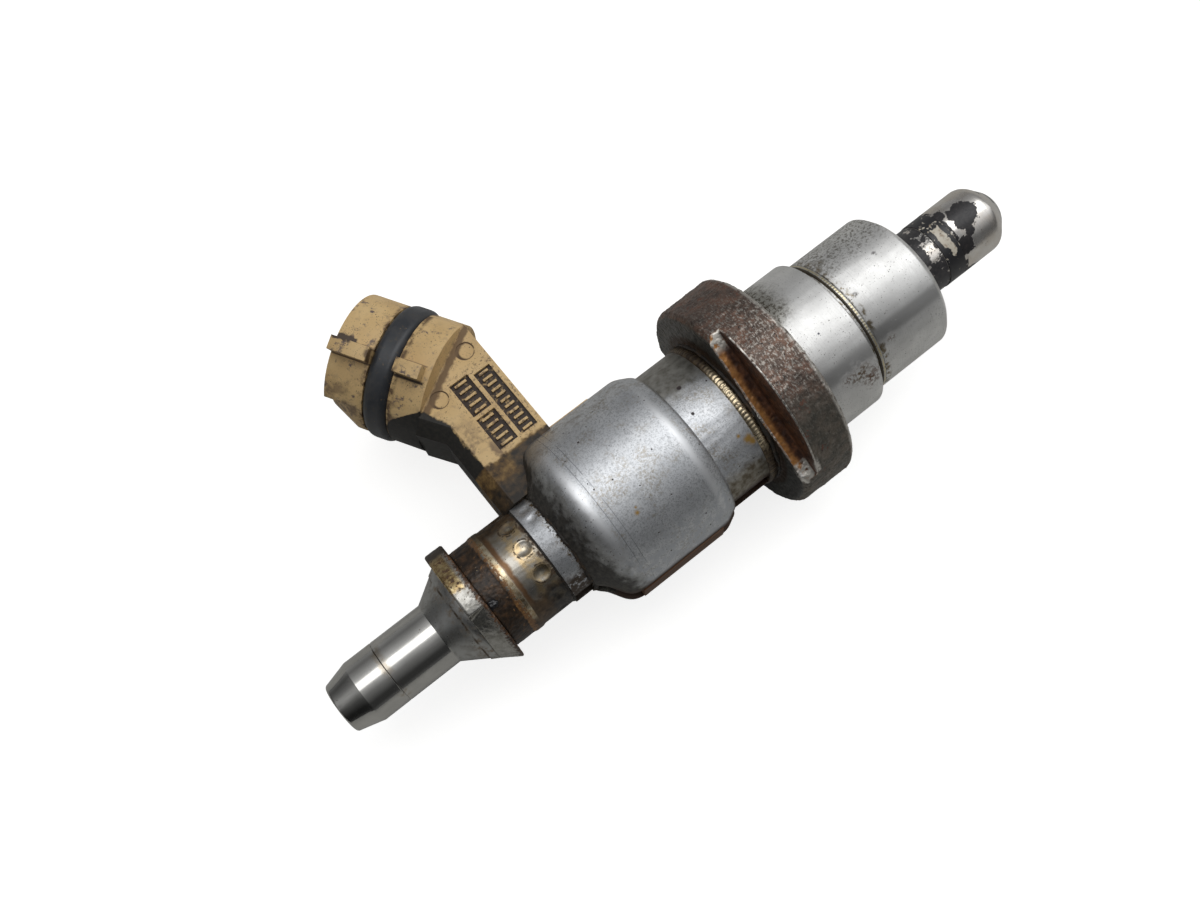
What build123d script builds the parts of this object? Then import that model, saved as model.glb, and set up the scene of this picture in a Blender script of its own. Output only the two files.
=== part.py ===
from build123d import *
import math
import os

# Solenoid fuel injector with a clamp flange and a side connector arm.
#
# Frame: the injector's axis is X and the nozzle points to +X.  The origin is on
# that axis, in the plane of the clamp flange's nozzle-side seat.  The connector
# arm leaves the body towards +Y and lies in the XY plane, so +Z is the normal of
# the arm's flat face.  "x_" names are stations along the axis, "r_" names are
# radii about it.  All lengths are in millimetres.

os.makedirs("parts", exist_ok=True)

# ---------------------------------------------------------------- stations on X
x_inlet_end = -60.2
x_inlet_taper = -57.2
x_inlet_line = -53.8
x_bore_step = -50.0
x_cone_start = -47.35
x_cone_line = -44.6
x_collar_start = -43.8
x_collar_end = -41.5
x_spigot_end = -40.0
x_ridge_start = -38.8
x_ridge_end = -38.0
x_dimples = -35.0
x_neck_start = -33.55
x_neck_end = -31.2
x_barrel_start = -26.6
x_barrel_end = -16.2
x_tail_start = -13.7
x_tail_end = -8.6
x_flange_hub = -7.6
x_flange_back = -7.1
x_seat_cone = -1.0
x_flange_seat = 0.0
x_body_end = 7.6
x_lower_start = 8.9
x_lower_end = 18.7
x_seal_start = 23.0
x_seal_end = 25.3
x_dome_start = 30.2
x_tip_end = 33.2

# ------------------------------------------------------------ radii about the axis
r_inlet = 3.75
r_inlet_mouth = 2.95
r_inlet_bore = 2.5
r_core_bore = 1.9
r_cone_step = 5.5
r_cone_end = 6.1
r_collar = 7.5
r_sleeve = 6.16
r_ridge = 6.27
r_spigot = 5.0
r_neck = 6.45
r_barrel = 10.5
r_tail = 9.11
r_hub = 9.2
r_flange_bore = 8.6
r_flange = 13.3
r_body = 9.6
r_lower = 8.68
r_lower_neck = 8.45
r_lower_end = 8.0
r_lower_weld = 8.8
r_nozzle_stem = 5.6
r_nozzle_shank = 4.15
r_seal_groove = 3.4
r_seal = 4.22
r_tip = 4.23
r_tip_face = 1.75
r_counterbore = 6.6
r_needle_room = 2.2

yoke_wall = 1.0
slot_half = 1.3
flat_distance = 9.2
flat_depth = 1.7
flat_turn = 28.2
flat_cutter = 10.0

# Small edge breaks.
break_fine = 0.12
break_edge = 0.15
break_pin = 0.18
break_core = 0.2

# -------------------------------------------------------------- valve and its travel
lift = 0.10
running_gap = 0.05
x_core_step = -22.5
x_core_face = -20.12
x_armature_start = -20.0
x_armature_end = -12.5
x_pocket_end = -17.5
x_guide_end = -9.0
r_guide = 4.75
r_armature = r_guide - running_gap
r_pocket = 1.75
r_needle = 1.0
r_ball = 1.6
x_ball = 30.2
seat_gap = 0.02
r_seat_mouth = 1.9
r_sac = 0.45

# Spring between the adjusting tube and the bottom of the armature's pocket.
x_adjuster_start = -37.5
x_adjuster_end = -30.5
r_adjuster_bore = 1.0
spring_wire = 0.22
spring_clear = 0.03
spring_mean = 1.35
spring_turns = 9

# ------------------------------------------------------------------ coil and resin
r_core = r_neck - yoke_wall
r_holder_top = r_tail - yoke_wall
r_resin = r_barrel - yoke_wall
r_bobbin_hub = 6.2
r_winding = 8.5
r_bobbin_rim = 8.9
x_bobbin_start = -27.4
x_bobbin_end = -16.3
bobbin_rim_width = 0.9
bobbin_gap = 0.05
x_holder_top = -14.4

# ------------------------------------------------- connector head on the arm's end
# The head's own axis leaves the arm at head_angle from the -X direction towards +Y.
head_angle = 59.5
head_x = -33.54
head_y = 28.56
head_front = 4.7
head_groove = 3.08
head_rear = 7.05
r_head = 7.65
r_head_groove = 6.1
r_head_ring = 8.0
r_socket = 5.2
socket_depth = 10.2
key_height = 1.6
key_sunk = 1.0
key_half_width = 0.82
key_turn = 76.8
# Lead-in bevel on part of the rim, for the plug's latch.
ramp_from = -56.0
ramp_arc = 84.0
ramp_length = 3.4
ramp_sink = 1.5

head_dir = Vector(-math.cos(math.radians(head_angle)), math.sin(math.radians(head_angle)), 0)
head_side = Vector(math.sin(math.radians(head_angle)), math.cos(math.radians(head_angle)), 0)
head_centre = Vector(head_x, head_y, 0)
head_axis = Axis(head_centre, head_dir)


def head_plane(distance):
    """Plane square to the head's axis: local x faces the inlet side, local y is +Z."""
    return Plane(origin=head_centre + head_dir * distance, x_dir=head_side * -1, z_dir=head_dir)


def head_point(distance, side):
    """Point in the arm's plane, given along and across the head's axis."""
    spot = head_centre + head_dir * distance + head_side * side
    return (spot.X, spot.Y)


# -------------------------------------------------------------------- arm outline
arm_half = 5.0
x_arm_left = -34.3
x_arm_right = -24.5
arm_left_top = 15.6
arm_bottom = 4.9
arm_head_side = -7.4
arm_shoulder_side = 6.35
arm_shoulder_top = 24.5
arm_bevel = 1.55


def turned(points):
    """Close a profile given as (x, r) points and revolve it about the X axis."""
    with BuildSketch(Plane.XY) as section:
        with BuildLine():
            Polyline(*points, close=True)
        make_face()
    revolve(section.sketch, axis=Axis.X)


def tube(start, end, inner, outer):
    """Plain ring between two stations."""
    turned([(start, inner), (end, inner), (end, outer), (start, outer)])


def outer_rims(builder):
    """The two largest circular edges of a turned piece."""
    return builder.edges().filter_by(GeomType.CIRCLE).sort_by(SortBy.RADIUS)[-2:]


def around(station, reach, angles):
    """Locations at one station and reach, turned from +Z towards +Y by each angle."""
    return [Location((station, reach * math.sin(math.radians(turn)), reach * math.cos(math.radians(turn))))
            for turn in angles]


# ===================================================================== fuel inlet
inlet_line_depth = 0.07
inlet_line_half = 0.07
mouth_run = 0.3
mouth_lip = 0.25
mouth_rise = 0.06
mouth_mid = 0.08
cone_step = 0.12
bore_step_run = 0.6

with BuildPart() as inlet_tube:
    with BuildSketch(Plane.XY):
        with BuildLine():
            Line((x_inlet_end, r_inlet_bore), (x_inlet_end, r_inlet_mouth - mouth_lip))
            ThreePointArc((x_inlet_end, r_inlet_mouth - mouth_lip),
                          (x_inlet_end + mouth_mid, r_inlet_mouth - mouth_rise),
                          (x_inlet_end + mouth_run, r_inlet_mouth + mouth_rise))
            Polyline((x_inlet_end + mouth_run, r_inlet_mouth + mouth_rise),
                     (x_inlet_taper, r_inlet),
                     (x_inlet_line - inlet_line_half, r_inlet),
                     (x_inlet_line, r_inlet - inlet_line_depth),
                     (x_inlet_line + inlet_line_half, r_inlet),
                     (x_cone_start, r_inlet),
                     (x_cone_line, r_cone_step),
                     (x_cone_line, r_cone_step + cone_step),
                     (x_collar_start, r_cone_end),
                     (x_collar_start, r_spigot),
                     (x_spigot_end, r_spigot),
                     (x_spigot_end, r_core_bore),
                     (x_bore_step + bore_step_run, r_core_bore),
                     (x_bore_step, r_inlet_bore),
                     (x_inlet_end, r_inlet_bore))
        make_face()
    revolve(axis=Axis.X)

# Orientation relief: on the side away from the arm the collar follows the cone.
cone_slope = (r_cone_end - r_inlet) / (x_collar_start - x_cone_start)
x_cone_rim = x_collar_start + (r_collar - r_cone_end) / cone_slope
relief_edge = -2.5
relief_lead = 0.5
relief_over = 0.3

with BuildPart() as relief:
    turned([(x_collar_start - relief_lead, r_cone_end - relief_lead * cone_slope),
            (x_cone_rim + relief_over, r_collar + relief_over * cone_slope),
            (x_collar_start - relief_lead, r_collar + relief_over * cone_slope)])
    split(bisect_by=Plane.XZ.offset(-relief_edge), keep=Keep.TOP)

with BuildPart() as locating_collar:
    tube(x_collar_start, x_collar_end, r_spigot, r_collar)
    chamfer(outer_rims(locating_collar), break_edge)
    add(relief.part, mode=Mode.SUBTRACT)

# Inlet filter: a ring pressed into the tube's mouth, a windowed cage and its mesh.
x_filter_rim = -59.5
x_filter_start = -58.1
x_filter_end = -52.3
x_filter_cap = -51.6
r_filter_rim = 2.05
r_filter_cage = 2.15
r_filter_cage_bore = 1.95
r_filter_mesh = 1.83
window_count = 4
window_width = 2.0
window_depth = 0.9
window_margin = 0.3

with BuildPart() as filter_frame:
    tube(x_filter_rim, x_filter_start, r_filter_rim, r_inlet_bore)
    tube(x_filter_start, x_filter_end, r_filter_cage_bore, r_filter_cage)
    with BuildSketch(Plane.YZ.offset(x_filter_start + window_margin)):
        with PolarLocations(r_filter_cage, window_count, start_angle=45):
            Rectangle(window_depth, window_width)
    extrude(amount=x_filter_end - x_filter_start - 2 * window_margin, mode=Mode.SUBTRACT)
    tube(x_filter_end, x_filter_cap, 0, r_filter_cage)

with BuildPart() as inlet_filter:
    tube(x_filter_start, x_filter_end, r_filter_mesh, r_filter_cage_bore)

# ============================================================== core and adjusting
dimple_count = 12
r_dimple = 1.0
dimple_sink = 0.24
r_dimple_ball = (r_dimple ** 2 + dimple_sink ** 2) / (2 * dimple_sink)
ridge_flank = 0.35
dimple_turns = [360 / dimple_count * number for number in range(dimple_count)]

with BuildPart() as core_sleeve:
    turned([(x_collar_end, r_spigot), (x_neck_start, r_spigot), (x_neck_start, r_sleeve),
            (x_ridge_end + ridge_flank, r_sleeve), (x_ridge_end, r_ridge), (x_ridge_start, r_ridge),
            (x_ridge_start - ridge_flank, r_sleeve), (x_collar_end, r_sleeve)])
    with Locations(*around(x_dimples, r_sleeve - dimple_sink + r_dimple_ball, dimple_turns)):
        Sphere(r_dimple_ball, mode=Mode.SUBTRACT)

with BuildPart() as fixed_core:
    turned([(x_spigot_end, r_core_bore), (x_core_face, r_core_bore), (x_core_face, r_guide),
            (x_core_step, r_guide), (x_core_step, r_core), (x_neck_start, r_core),
            (x_neck_start, r_spigot), (x_spigot_end, r_spigot)])

with BuildPart() as adjusting_tube:
    tube(x_adjuster_start, x_adjuster_end, r_adjuster_bore, r_core_bore)
    chamfer(outer_rims(adjusting_tube), break_core)

with BuildPart() as return_spring:
    spring_length = x_pocket_end - lift - x_adjuster_end
    spring_pitch = (spring_length - 2 * (spring_wire + spring_clear)) / spring_turns
    with BuildLine():
        coil_path = Helix(spring_pitch, spring_pitch * spring_turns, spring_mean,
                          center=(x_adjuster_end + spring_wire + spring_clear, 0, 0),
                          direction=(1, 0, 0))
    with BuildSketch(Plane(origin=coil_path @ 0, z_dir=coil_path % 0)):
        Circle(spring_wire)
    sweep(path=coil_path, is_frenet=True)

with BuildPart() as nonmagnetic_ring:
    tube(x_core_step, x_pocket_end, r_guide, r_core)

with BuildPart() as magnetic_sleeve:
    tube(x_pocket_end, x_guide_end, r_guide, r_core)

# =================================================================== moving valve
vent_count = 4
r_vent_circle = 3.1
r_vent = 0.5

with BuildPart() as armature:
    turned([(x_armature_start, r_pocket), (x_pocket_end, r_pocket), (x_pocket_end, r_needle),
            (x_armature_end, r_needle), (x_armature_end, r_armature), (x_armature_start, r_armature)])
    chamfer(outer_rims(armature), break_edge)
    with BuildSketch(Plane.YZ.offset(x_armature_start)):
        with PolarLocations(r_vent_circle, vent_count):
            Circle(r_vent)
    extrude(amount=x_armature_end - x_armature_start, mode=Mode.SUBTRACT)

x_needle_end = x_ball - math.sqrt(r_ball ** 2 - r_needle ** 2)

with BuildPart() as needle:
    tube(x_pocket_end, x_needle_end, 0, r_needle)

with BuildPart() as valve_ball:
    with Locations((x_ball, 0, 0)):
        Sphere(r_ball)
    with BuildSketch(Plane.YZ.offset(x_needle_end)):
        Circle(r_ball)
    extrude(amount=-r_ball, mode=Mode.SUBTRACT)

# ============================================================ holder, flange, nozzle
x_shim_start = 4.2
x_shim_end = 5.0
r_shim_bore = 2.6
flange_front_bevel = 0.45
flange_back_run = 0.6
flange_back_fall = 0.7
flange_draft = 0.1
weld_crown = 0.2
weld_toe = 0.1

with BuildPart() as nozzle_holder:
    turned([(x_holder_top, r_core), (x_guide_end, r_core), (x_guide_end, r_guide),
            (x_shim_start, r_guide), (x_shim_start, r_counterbore), (x_body_end, r_counterbore),
            (x_body_end, r_body - break_fine), (x_body_end - break_fine, r_body),
            (x_flange_seat, r_body), (x_seat_cone, r_flange_bore), (x_tail_end, r_flange_bore),
            (x_tail_end, r_holder_top), (x_holder_top, r_holder_top)])

with BuildPart() as clamp_flange:
    turned([(x_flange_hub, r_flange_bore), (x_seat_cone, r_flange_bore), (x_flange_seat, r_body),
            (x_flange_seat, r_flange - flange_front_bevel), (x_flange_seat - flange_front_bevel, r_flange),
            (x_flange_back + flange_back_run, r_flange - flange_draft),
            (x_flange_back, r_flange - flange_back_fall),
            (x_flange_back, r_hub), (x_flange_hub, r_hub)])
    # Two parallel flats, cut into the back of the rim, on which the clamp fork sits.
    with BuildSketch(Plane.YZ.offset(x_flange_back)):
        with PolarLocations(flat_distance + flat_cutter / 2, 2, start_angle=90 + flat_turn):
            Rectangle(flat_cutter, 4 * flat_cutter)
    extrude(amount=flat_depth, mode=Mode.SUBTRACT)

with BuildPart() as body_weld:
    with BuildSketch(Plane.XY):
        with BuildLine():
            Polyline((x_tail_end, r_hub - weld_toe), (x_tail_end, r_flange_bore),
                     (x_flange_hub, r_flange_bore), (x_flange_hub, r_hub - weld_toe))
            ThreePointArc((x_flange_hub, r_hub - weld_toe),
                          ((x_tail_end + x_flange_hub) / 2, r_hub + weld_crown),
                          (x_tail_end, r_hub - weld_toe))
        make_face()
    revolve(axis=Axis.X)

with BuildPart() as lift_shim:
    tube(x_shim_start, x_shim_end, r_shim_bore, r_counterbore)

x_head_end = 12.0
x_apex = x_ball + (r_ball + seat_gap) * math.sqrt(2)
x_seat_mouth = x_apex - r_seat_mouth
x_sac = x_apex - r_sac
x_orifice = 32.6
r_orifice_disc = 1.5
r_orifice = 0.18
orifice_proud = 0.2
dome_run = 1.75
dome_fall = 1.0
dome_end_slope = 0.42

with BuildPart() as nozzle_body:
    with BuildSketch(Plane.XY):
        with BuildLine():
            Polyline((x_shim_end, r_needle_room), (x_shim_end, r_counterbore),
                     (x_head_end, r_counterbore), (x_head_end, r_nozzle_stem),
                     (x_lower_end, r_nozzle_stem), (x_lower_end, r_nozzle_shank),
                     (x_seal_start, r_nozzle_shank), (x_seal_start, r_seal_groove),
                     (x_seal_end, r_seal_groove), (x_seal_end, r_tip), (x_dome_start, r_tip))
            Spline((x_dome_start, r_tip), (x_dome_start + dome_run, r_tip - dome_fall),
                   (x_tip_end, r_tip_face), tangents=((1, 0), (dome_end_slope, -1)))
            Polyline((x_tip_end, r_tip_face), (x_tip_end, r_orifice_disc), (x_orifice, r_orifice_disc),
                     (x_orifice, r_sac), (x_sac, r_sac), (x_seat_mouth, r_seat_mouth),
                     (x_seat_mouth, r_needle_room), (x_shim_end, r_needle_room))
        make_face()
    revolve(axis=Axis.X)

# Ring that guides the ball and lets fuel past through four slots.
swirl_length = 1.55
swirl_setback = 0.15
ball_gap = 0.03
swirl_slots = 4
swirl_slot_depth = 0.4
swirl_slot_width = 0.5
x_swirl_end = x_seat_mouth - swirl_setback

with BuildPart() as swirl_guide:
    tube(x_swirl_end - swirl_length, x_swirl_end, r_ball + ball_gap, r_needle_room)
    with BuildSketch(Plane.YZ.offset(x_swirl_end - swirl_length)):
        with PolarLocations(r_needle_room, swirl_slots):
            Rectangle(swirl_slot_depth, swirl_slot_width)
    extrude(amount=swirl_length, mode=Mode.SUBTRACT)

with BuildPart() as orifice_plate:
    tube(x_orifice, x_tip_end + orifice_proud, r_orifice, r_orifice_disc)
    chamfer(outer_rims(orifice_plate).sort_by(Axis.X)[-1], break_fine)

with BuildPart() as tip_seal:
    tube(x_seal_start, x_seal_end, r_seal_groove, r_seal)

end_bevel = 0.75
weld_bead_width = 0.65

with BuildPart() as nozzle_retainer:
    turned([(x_body_end, r_counterbore), (x_head_end, r_counterbore), (x_head_end, r_nozzle_stem),
            (x_lower_end, r_nozzle_stem), (x_lower_end, r_lower_end - break_fine),
            (x_lower_end - break_fine, r_lower_end), (x_lower_end - end_bevel, r_lower),
            (x_lower_start, r_lower), (x_lower_start, r_lower_neck), (x_body_end, r_lower_neck)])

with BuildPart() as retainer_weld:
    tube(x_lower_start - weld_bead_width, x_lower_start, r_lower_neck, r_lower_weld)
    fillet(outer_rims(retainer_weld), break_edge)

# ======================================================== magnetic yoke, two shells
shoulder_points = [(x_neck_end, r_neck), (x_neck_end + 0.75, 7.5), (x_neck_end + 2.3, 9.75),
                   (x_barrel_start, r_barrel)]
bend_points = [(x_barrel_end, r_barrel), (x_tail_start - 0.75, 9.9), (x_tail_start, r_tail)]
shoulder_inset = 0.5
neck_inset = 0.1

with BuildLine() as yoke_outside:
    Polyline((x_neck_start, r_core), (x_neck_start, r_neck), (x_neck_end, r_neck))
    Spline(*shoulder_points, tangents=((0.15, 1), (1, 0)))
    Line((x_barrel_start, r_barrel), (x_barrel_end, r_barrel))
    Spline(*bend_points, tangents=((1, 0), (0.1, -1)))
    Polyline((x_tail_start, r_tail), (x_tail_end, r_tail), (x_tail_end, r_holder_top))

with BuildSketch(Plane.XY) as yoke_section:
    with BuildLine():
        add(yoke_outside.line)
        Polyline((x_tail_end, r_holder_top), (x_holder_top, r_holder_top), (x_barrel_end, r_resin),
                 (x_barrel_start - shoulder_inset, r_resin), (x_neck_end - neck_inset, r_core),
                 (x_neck_start, r_core))
    make_face()

with BuildSketch(Plane.XY) as yoke_room_section:
    with BuildLine():
        add(yoke_outside.line)
        Polyline((x_tail_end, r_holder_top), (x_tail_end, 0), (x_neck_start, 0), (x_neck_start, r_core))
    make_face()

# Two small staking marks on the neck of the front shell.
x_marks = -32.35
mark_turns = (33.4, 18.0)
mark_sink = 0.14
r_mark_ball = 1.6

with BuildPart() as yoke_front:
    revolve(yoke_section.sketch, axis=Axis.X)
    split(bisect_by=Plane.XY.offset(slot_half), keep=Keep.TOP)
    with Locations(*around(x_marks, r_neck - mark_sink + r_mark_ball, mark_turns)):
        Sphere(r_mark_ball, mode=Mode.SUBTRACT)

with BuildPart() as yoke_back:
    revolve(yoke_section.sketch, axis=Axis.X)
    split(bisect_by=Plane.XY.offset(-slot_half), keep=Keep.BOTTOM)

# ====================================================================== coil pieces
r_bobbin_bore = r_core + bobbin_gap
x_winding_start = x_bobbin_start + bobbin_rim_width
x_winding_end = x_bobbin_end - bobbin_rim_width

with BuildPart() as coil_bobbin:
    turned([(x_bobbin_start, r_bobbin_bore), (x_bobbin_end, r_bobbin_bore), (x_bobbin_end, r_bobbin_rim),
            (x_winding_end, r_bobbin_rim), (x_winding_end, r_bobbin_hub),
            (x_winding_start, r_bobbin_hub), (x_winding_start, r_bobbin_rim),
            (x_bobbin_start, r_bobbin_rim)])

with BuildPart() as coil_winding:
    tube(x_winding_start, x_winding_end, r_bobbin_hub, r_winding)

# =============================================================== connector terminals
pin_spread = 1.75
pin_thick = 0.64
pin_width = 1.5
pin_tip = -0.6
pin_root = -9.2
r_wire = 0.35
wire_spread = 0.75
wire_gap = 0.3
x_wire = -26.0
y_wire_bend = 14.0
r_wire_bend = 1.2
r_wire_foot = r_bobbin_rim + 0.02
socket_floor = head_front - socket_depth


def pin_sketch():
    """Sections of the two blades, side by side across the arm's plane."""
    with Locations((0, pin_spread), (0, -pin_spread)):
        Rectangle(pin_width, pin_thick)


with BuildPart() as terminal_pins:
    with BuildSketch(head_plane(pin_root)):
        pin_sketch()
    extrude(amount=pin_tip - pin_root)
    chamfer(terminal_pins.faces().sort_by(head_axis)[-2:].edges(), break_pin)


def wire(side):
    """One lead from the bobbin's rim up through the arm to a blade's root."""
    root = head_centre + head_dir * (pin_root - wire_gap)
    with BuildLine() as route:
        FilletPolyline((x_wire, r_wire_foot, side * wire_spread),
                       (x_wire, y_wire_bend, side * wire_spread),
                       (root.X, root.Y, side * pin_spread), radius=r_wire_bend)
    with BuildSketch(Plane(origin=route.line @ 0, z_dir=route.line % 0)) as section:
        Circle(r_wire)
    sweep(section.sketch, path=route.line)


with BuildPart() as terminal_leads:
    wire(1)
    wire(-1)

# ==================================================== moulded connector arm and head
key_front = (0.0, head_front - 0.05)
key_rear = (-head_rear + 0.7, -head_groove - 0.2)
panel_depth = 0.35
panels = [((-30.25, -27.8), (10.75, 15.2)), ((-30.25, -27.8), (15.65, 20.35)),
          ((-27.3, -25.15), (10.75, 19.8))]
ejector_marks = [(-26.34, 22.76), (-31.99, 19.79)]
r_ejector = 1.05
ejector_depth = 0.12

# Ribs of resin in the slots: one under the arm, its raised part, and one opposite.
rib_foot = r_bobbin_rim + 0.15
rib_proud = 0.02
rib_raised = 0.3
x_rib_end = x_bobbin_end - 0.1
x_raised_start = x_arm_right - 0.2
x_raised_end = -18.6
ribs = [(rib_foot, r_barrel + rib_proud, x_bobbin_start, x_rib_end),
        (r_barrel - yoke_wall / 2, r_barrel + rib_raised, x_raised_start, x_raised_end),
        (-r_barrel - rib_proud, -rib_foot, x_bobbin_start, x_rib_end)]

# The bevel's section is swept about the head's axis, from ramp_from off the inlet side.
ramp_radial = head_plane(0).x_dir * math.cos(math.radians(ramp_from))
ramp_radial += Vector(0, 0, 1) * math.sin(math.radians(ramp_from))
ramp_over = 1.0

with BuildPart() as ramp:
    with BuildSketch(Plane(origin=head_centre, x_dir=ramp_radial, z_dir=ramp_radial.cross(head_dir))):
        with BuildLine():
            Polyline((r_head, head_front - ramp_length), (r_head - ramp_sink, head_front),
                     (r_head - ramp_sink, head_front + ramp_over),
                     (r_head + 2 * ramp_over, head_front + ramp_over),
                     (r_head + 2 * ramp_over, head_front - ramp_length), close=True)
        make_face()
    revolve(axis=head_axis, revolution_arc=ramp_arc)

overcut = 1.0

# Space taken by the yoke, the sleeve and all they enclose.
with BuildPart() as yoke_room:
    revolve(yoke_room_section.sketch, axis=Axis.X)
    tube(x_arm_left - overcut, x_neck_start, 0, r_sleeve)

with BuildPart() as connector_body:
    # Arm: one outline in the arm's plane, bevelled along its inlet side.
    with BuildSketch(Plane.XY.offset(-arm_half)):
        with BuildLine():
            Polyline((x_arm_left, arm_bottom), (x_arm_left, arm_left_top),
                     head_point(-head_rear, arm_head_side),
                     head_point(-head_rear, arm_shoulder_side), (x_arm_right, arm_shoulder_top),
                     (x_arm_right, arm_bottom), close=True)
        make_face()
    extrude(amount=2 * arm_half)
    face_edges = connector_body.edges().filter_by(GeomType.LINE).filter_by(Axis.Z, reverse=True)
    inlet_side_edges = face_edges.group_by(Axis.X)[:2]
    chamfer([edge for group in inlet_side_edges for edge in group], arm_bevel)
    # Nothing of the arm stands inside the yoke's outer wall or the sleeve.
    add(yoke_room.part, mode=Mode.SUBTRACT)
    # Head: a round barrel on its own axis.
    with BuildSketch(head_plane(-head_rear)):
        Circle(r_head)
    extrude(amount=head_rear + head_front)
    # Resin round the coil, with a rib that fills the slot between the yoke's shells.
    tube(x_barrel_start - shoulder_inset, x_bobbin_end, r_bobbin_rim, r_resin)
    for rib_low, rib_high, rib_start, rib_end in ribs:
        with BuildSketch(Plane.XY.offset(-slot_half)):
            with Locations(((rib_start + rib_end) / 2, (rib_low + rib_high) / 2)):
                Rectangle(rib_end - rib_start, rib_high - rib_low)
        extrude(amount=2 * slot_half)
    # Groove for the sealing ring, and the socket.
    with BuildSketch(head_plane(-head_groove)):
        Circle(r_head + overcut)
        Circle(r_head_groove, mode=Mode.SUBTRACT)
    extrude(amount=head_groove, mode=Mode.SUBTRACT)
    with BuildSketch(head_plane(socket_floor)):
        Circle(r_socket)
    extrude(amount=socket_depth + overcut, mode=Mode.SUBTRACT)
    # Keying rib, interrupted by the groove.
    for key_start, key_stop in (key_front, key_rear):
        with BuildSketch(head_plane(key_start)):
            with PolarLocations(r_head + (key_height - key_sunk) / 2, 1, start_angle=key_turn):
                Rectangle(key_height + key_sunk, 2 * key_half_width)
        extrude(amount=key_stop - key_start)
    add(ramp.part, mode=Mode.SUBTRACT)
    # Blank recessed label panels and the ejector marks, on both faces of the arm.
    for face_side in (1, -1):
        with BuildSketch(Plane.XY.offset(face_side * arm_half)):
            for (x_low, x_high), (y_low, y_high) in panels:
                with Locations(((x_low + x_high) / 2, (y_low + y_high) / 2)):
                    Rectangle(x_high - x_low, y_high - y_low)
        extrude(amount=-face_side * panel_depth, mode=Mode.SUBTRACT)
        with BuildSketch(Plane.XY.offset(face_side * arm_half)):
            with Locations(*ejector_marks):
                Circle(r_ejector)
        extrude(amount=-face_side * ejector_depth, mode=Mode.SUBTRACT)
    # Room for the terminals and their leads.
    add(terminal_pins.part, mode=Mode.SUBTRACT)
    add(terminal_leads.part, mode=Mode.SUBTRACT)

ring_gap = 0.02
ring_round = 0.9

with BuildPart() as connector_o_ring:
    with BuildSketch(Plane(origin=head_centre, x_dir=head_side, z_dir=Vector(0, 0, 1))):
        with Locations(((r_head_groove + r_head_ring) / 2, -head_groove / 2)):
            RectangleRounded(r_head_ring - r_head_groove - ring_gap, head_groove - 2 * ring_gap, ring_round)
    revolve(axis=head_axis)

# ============================================================================ output
pieces = {
    "inlet_tube": inlet_tube,
    "locating_collar": locating_collar,
    "filter_frame": filter_frame,
    "inlet_filter": inlet_filter,
    "core_sleeve": core_sleeve,
    "fixed_core": fixed_core,
    "adjusting_tube": adjusting_tube,
    "return_spring": return_spring,
    "nonmagnetic_ring": nonmagnetic_ring,
    "magnetic_sleeve": magnetic_sleeve,
    "armature": armature,
    "needle": needle,
    "valve_ball": valve_ball,
    "nozzle_holder": nozzle_holder,
    "clamp_flange": clamp_flange,
    "body_weld": body_weld,
    "lift_shim": lift_shim,
    "nozzle_body": nozzle_body,
    "swirl_guide": swirl_guide,
    "orifice_plate": orifice_plate,
    "tip_seal": tip_seal,
    "nozzle_retainer": nozzle_retainer,
    "retainer_weld": retainer_weld,
    "yoke_front": yoke_front,
    "yoke_back": yoke_back,
    "coil_bobbin": coil_bobbin,
    "coil_winding": coil_winding,
    "terminal_pins": terminal_pins,
    "terminal_leads": terminal_leads,
    "connector_body": connector_body,
    "connector_o_ring": connector_o_ring,
}
for name, piece in pieces.items():
    piece.part.label = name
    export_step(piece.part, f"parts/{name}.step")
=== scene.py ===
import math

import bmesh
import bpy
from mathutils import Matrix, Quaternion, Vector, noise


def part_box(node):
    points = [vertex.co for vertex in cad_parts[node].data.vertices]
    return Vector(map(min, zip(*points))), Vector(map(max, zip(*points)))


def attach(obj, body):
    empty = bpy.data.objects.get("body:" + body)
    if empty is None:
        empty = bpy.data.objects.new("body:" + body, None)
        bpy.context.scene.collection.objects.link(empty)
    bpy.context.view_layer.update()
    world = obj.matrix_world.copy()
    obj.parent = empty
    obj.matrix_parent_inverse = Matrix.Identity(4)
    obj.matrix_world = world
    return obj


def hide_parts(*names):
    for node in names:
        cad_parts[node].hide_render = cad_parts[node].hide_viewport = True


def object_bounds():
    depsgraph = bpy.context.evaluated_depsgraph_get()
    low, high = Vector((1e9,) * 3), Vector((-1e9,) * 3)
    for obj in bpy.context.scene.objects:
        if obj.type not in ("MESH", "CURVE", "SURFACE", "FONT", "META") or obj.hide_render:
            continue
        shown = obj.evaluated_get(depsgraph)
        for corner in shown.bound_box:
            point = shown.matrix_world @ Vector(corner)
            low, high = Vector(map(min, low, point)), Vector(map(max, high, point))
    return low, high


# Used solenoid fuel injector.  The row frame has the injector's axis on X with the
# nozzle towards +X, the connector arm towards +Y and the arm's face towards +Z.
# Places are written in millimetres, and MM turns them into metres.  "turn" is an angle
# in degrees about the axis, from +Z towards +Y.

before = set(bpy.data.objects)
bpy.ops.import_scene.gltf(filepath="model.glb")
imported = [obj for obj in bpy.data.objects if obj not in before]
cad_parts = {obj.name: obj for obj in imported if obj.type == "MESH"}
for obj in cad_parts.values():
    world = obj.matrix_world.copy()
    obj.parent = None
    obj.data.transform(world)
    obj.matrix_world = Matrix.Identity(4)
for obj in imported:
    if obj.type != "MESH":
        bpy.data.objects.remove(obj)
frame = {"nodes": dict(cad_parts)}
cad_low, cad_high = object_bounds()
nodes = frame["nodes"]
MM = 0.001
HOUSING = "housing"

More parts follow.
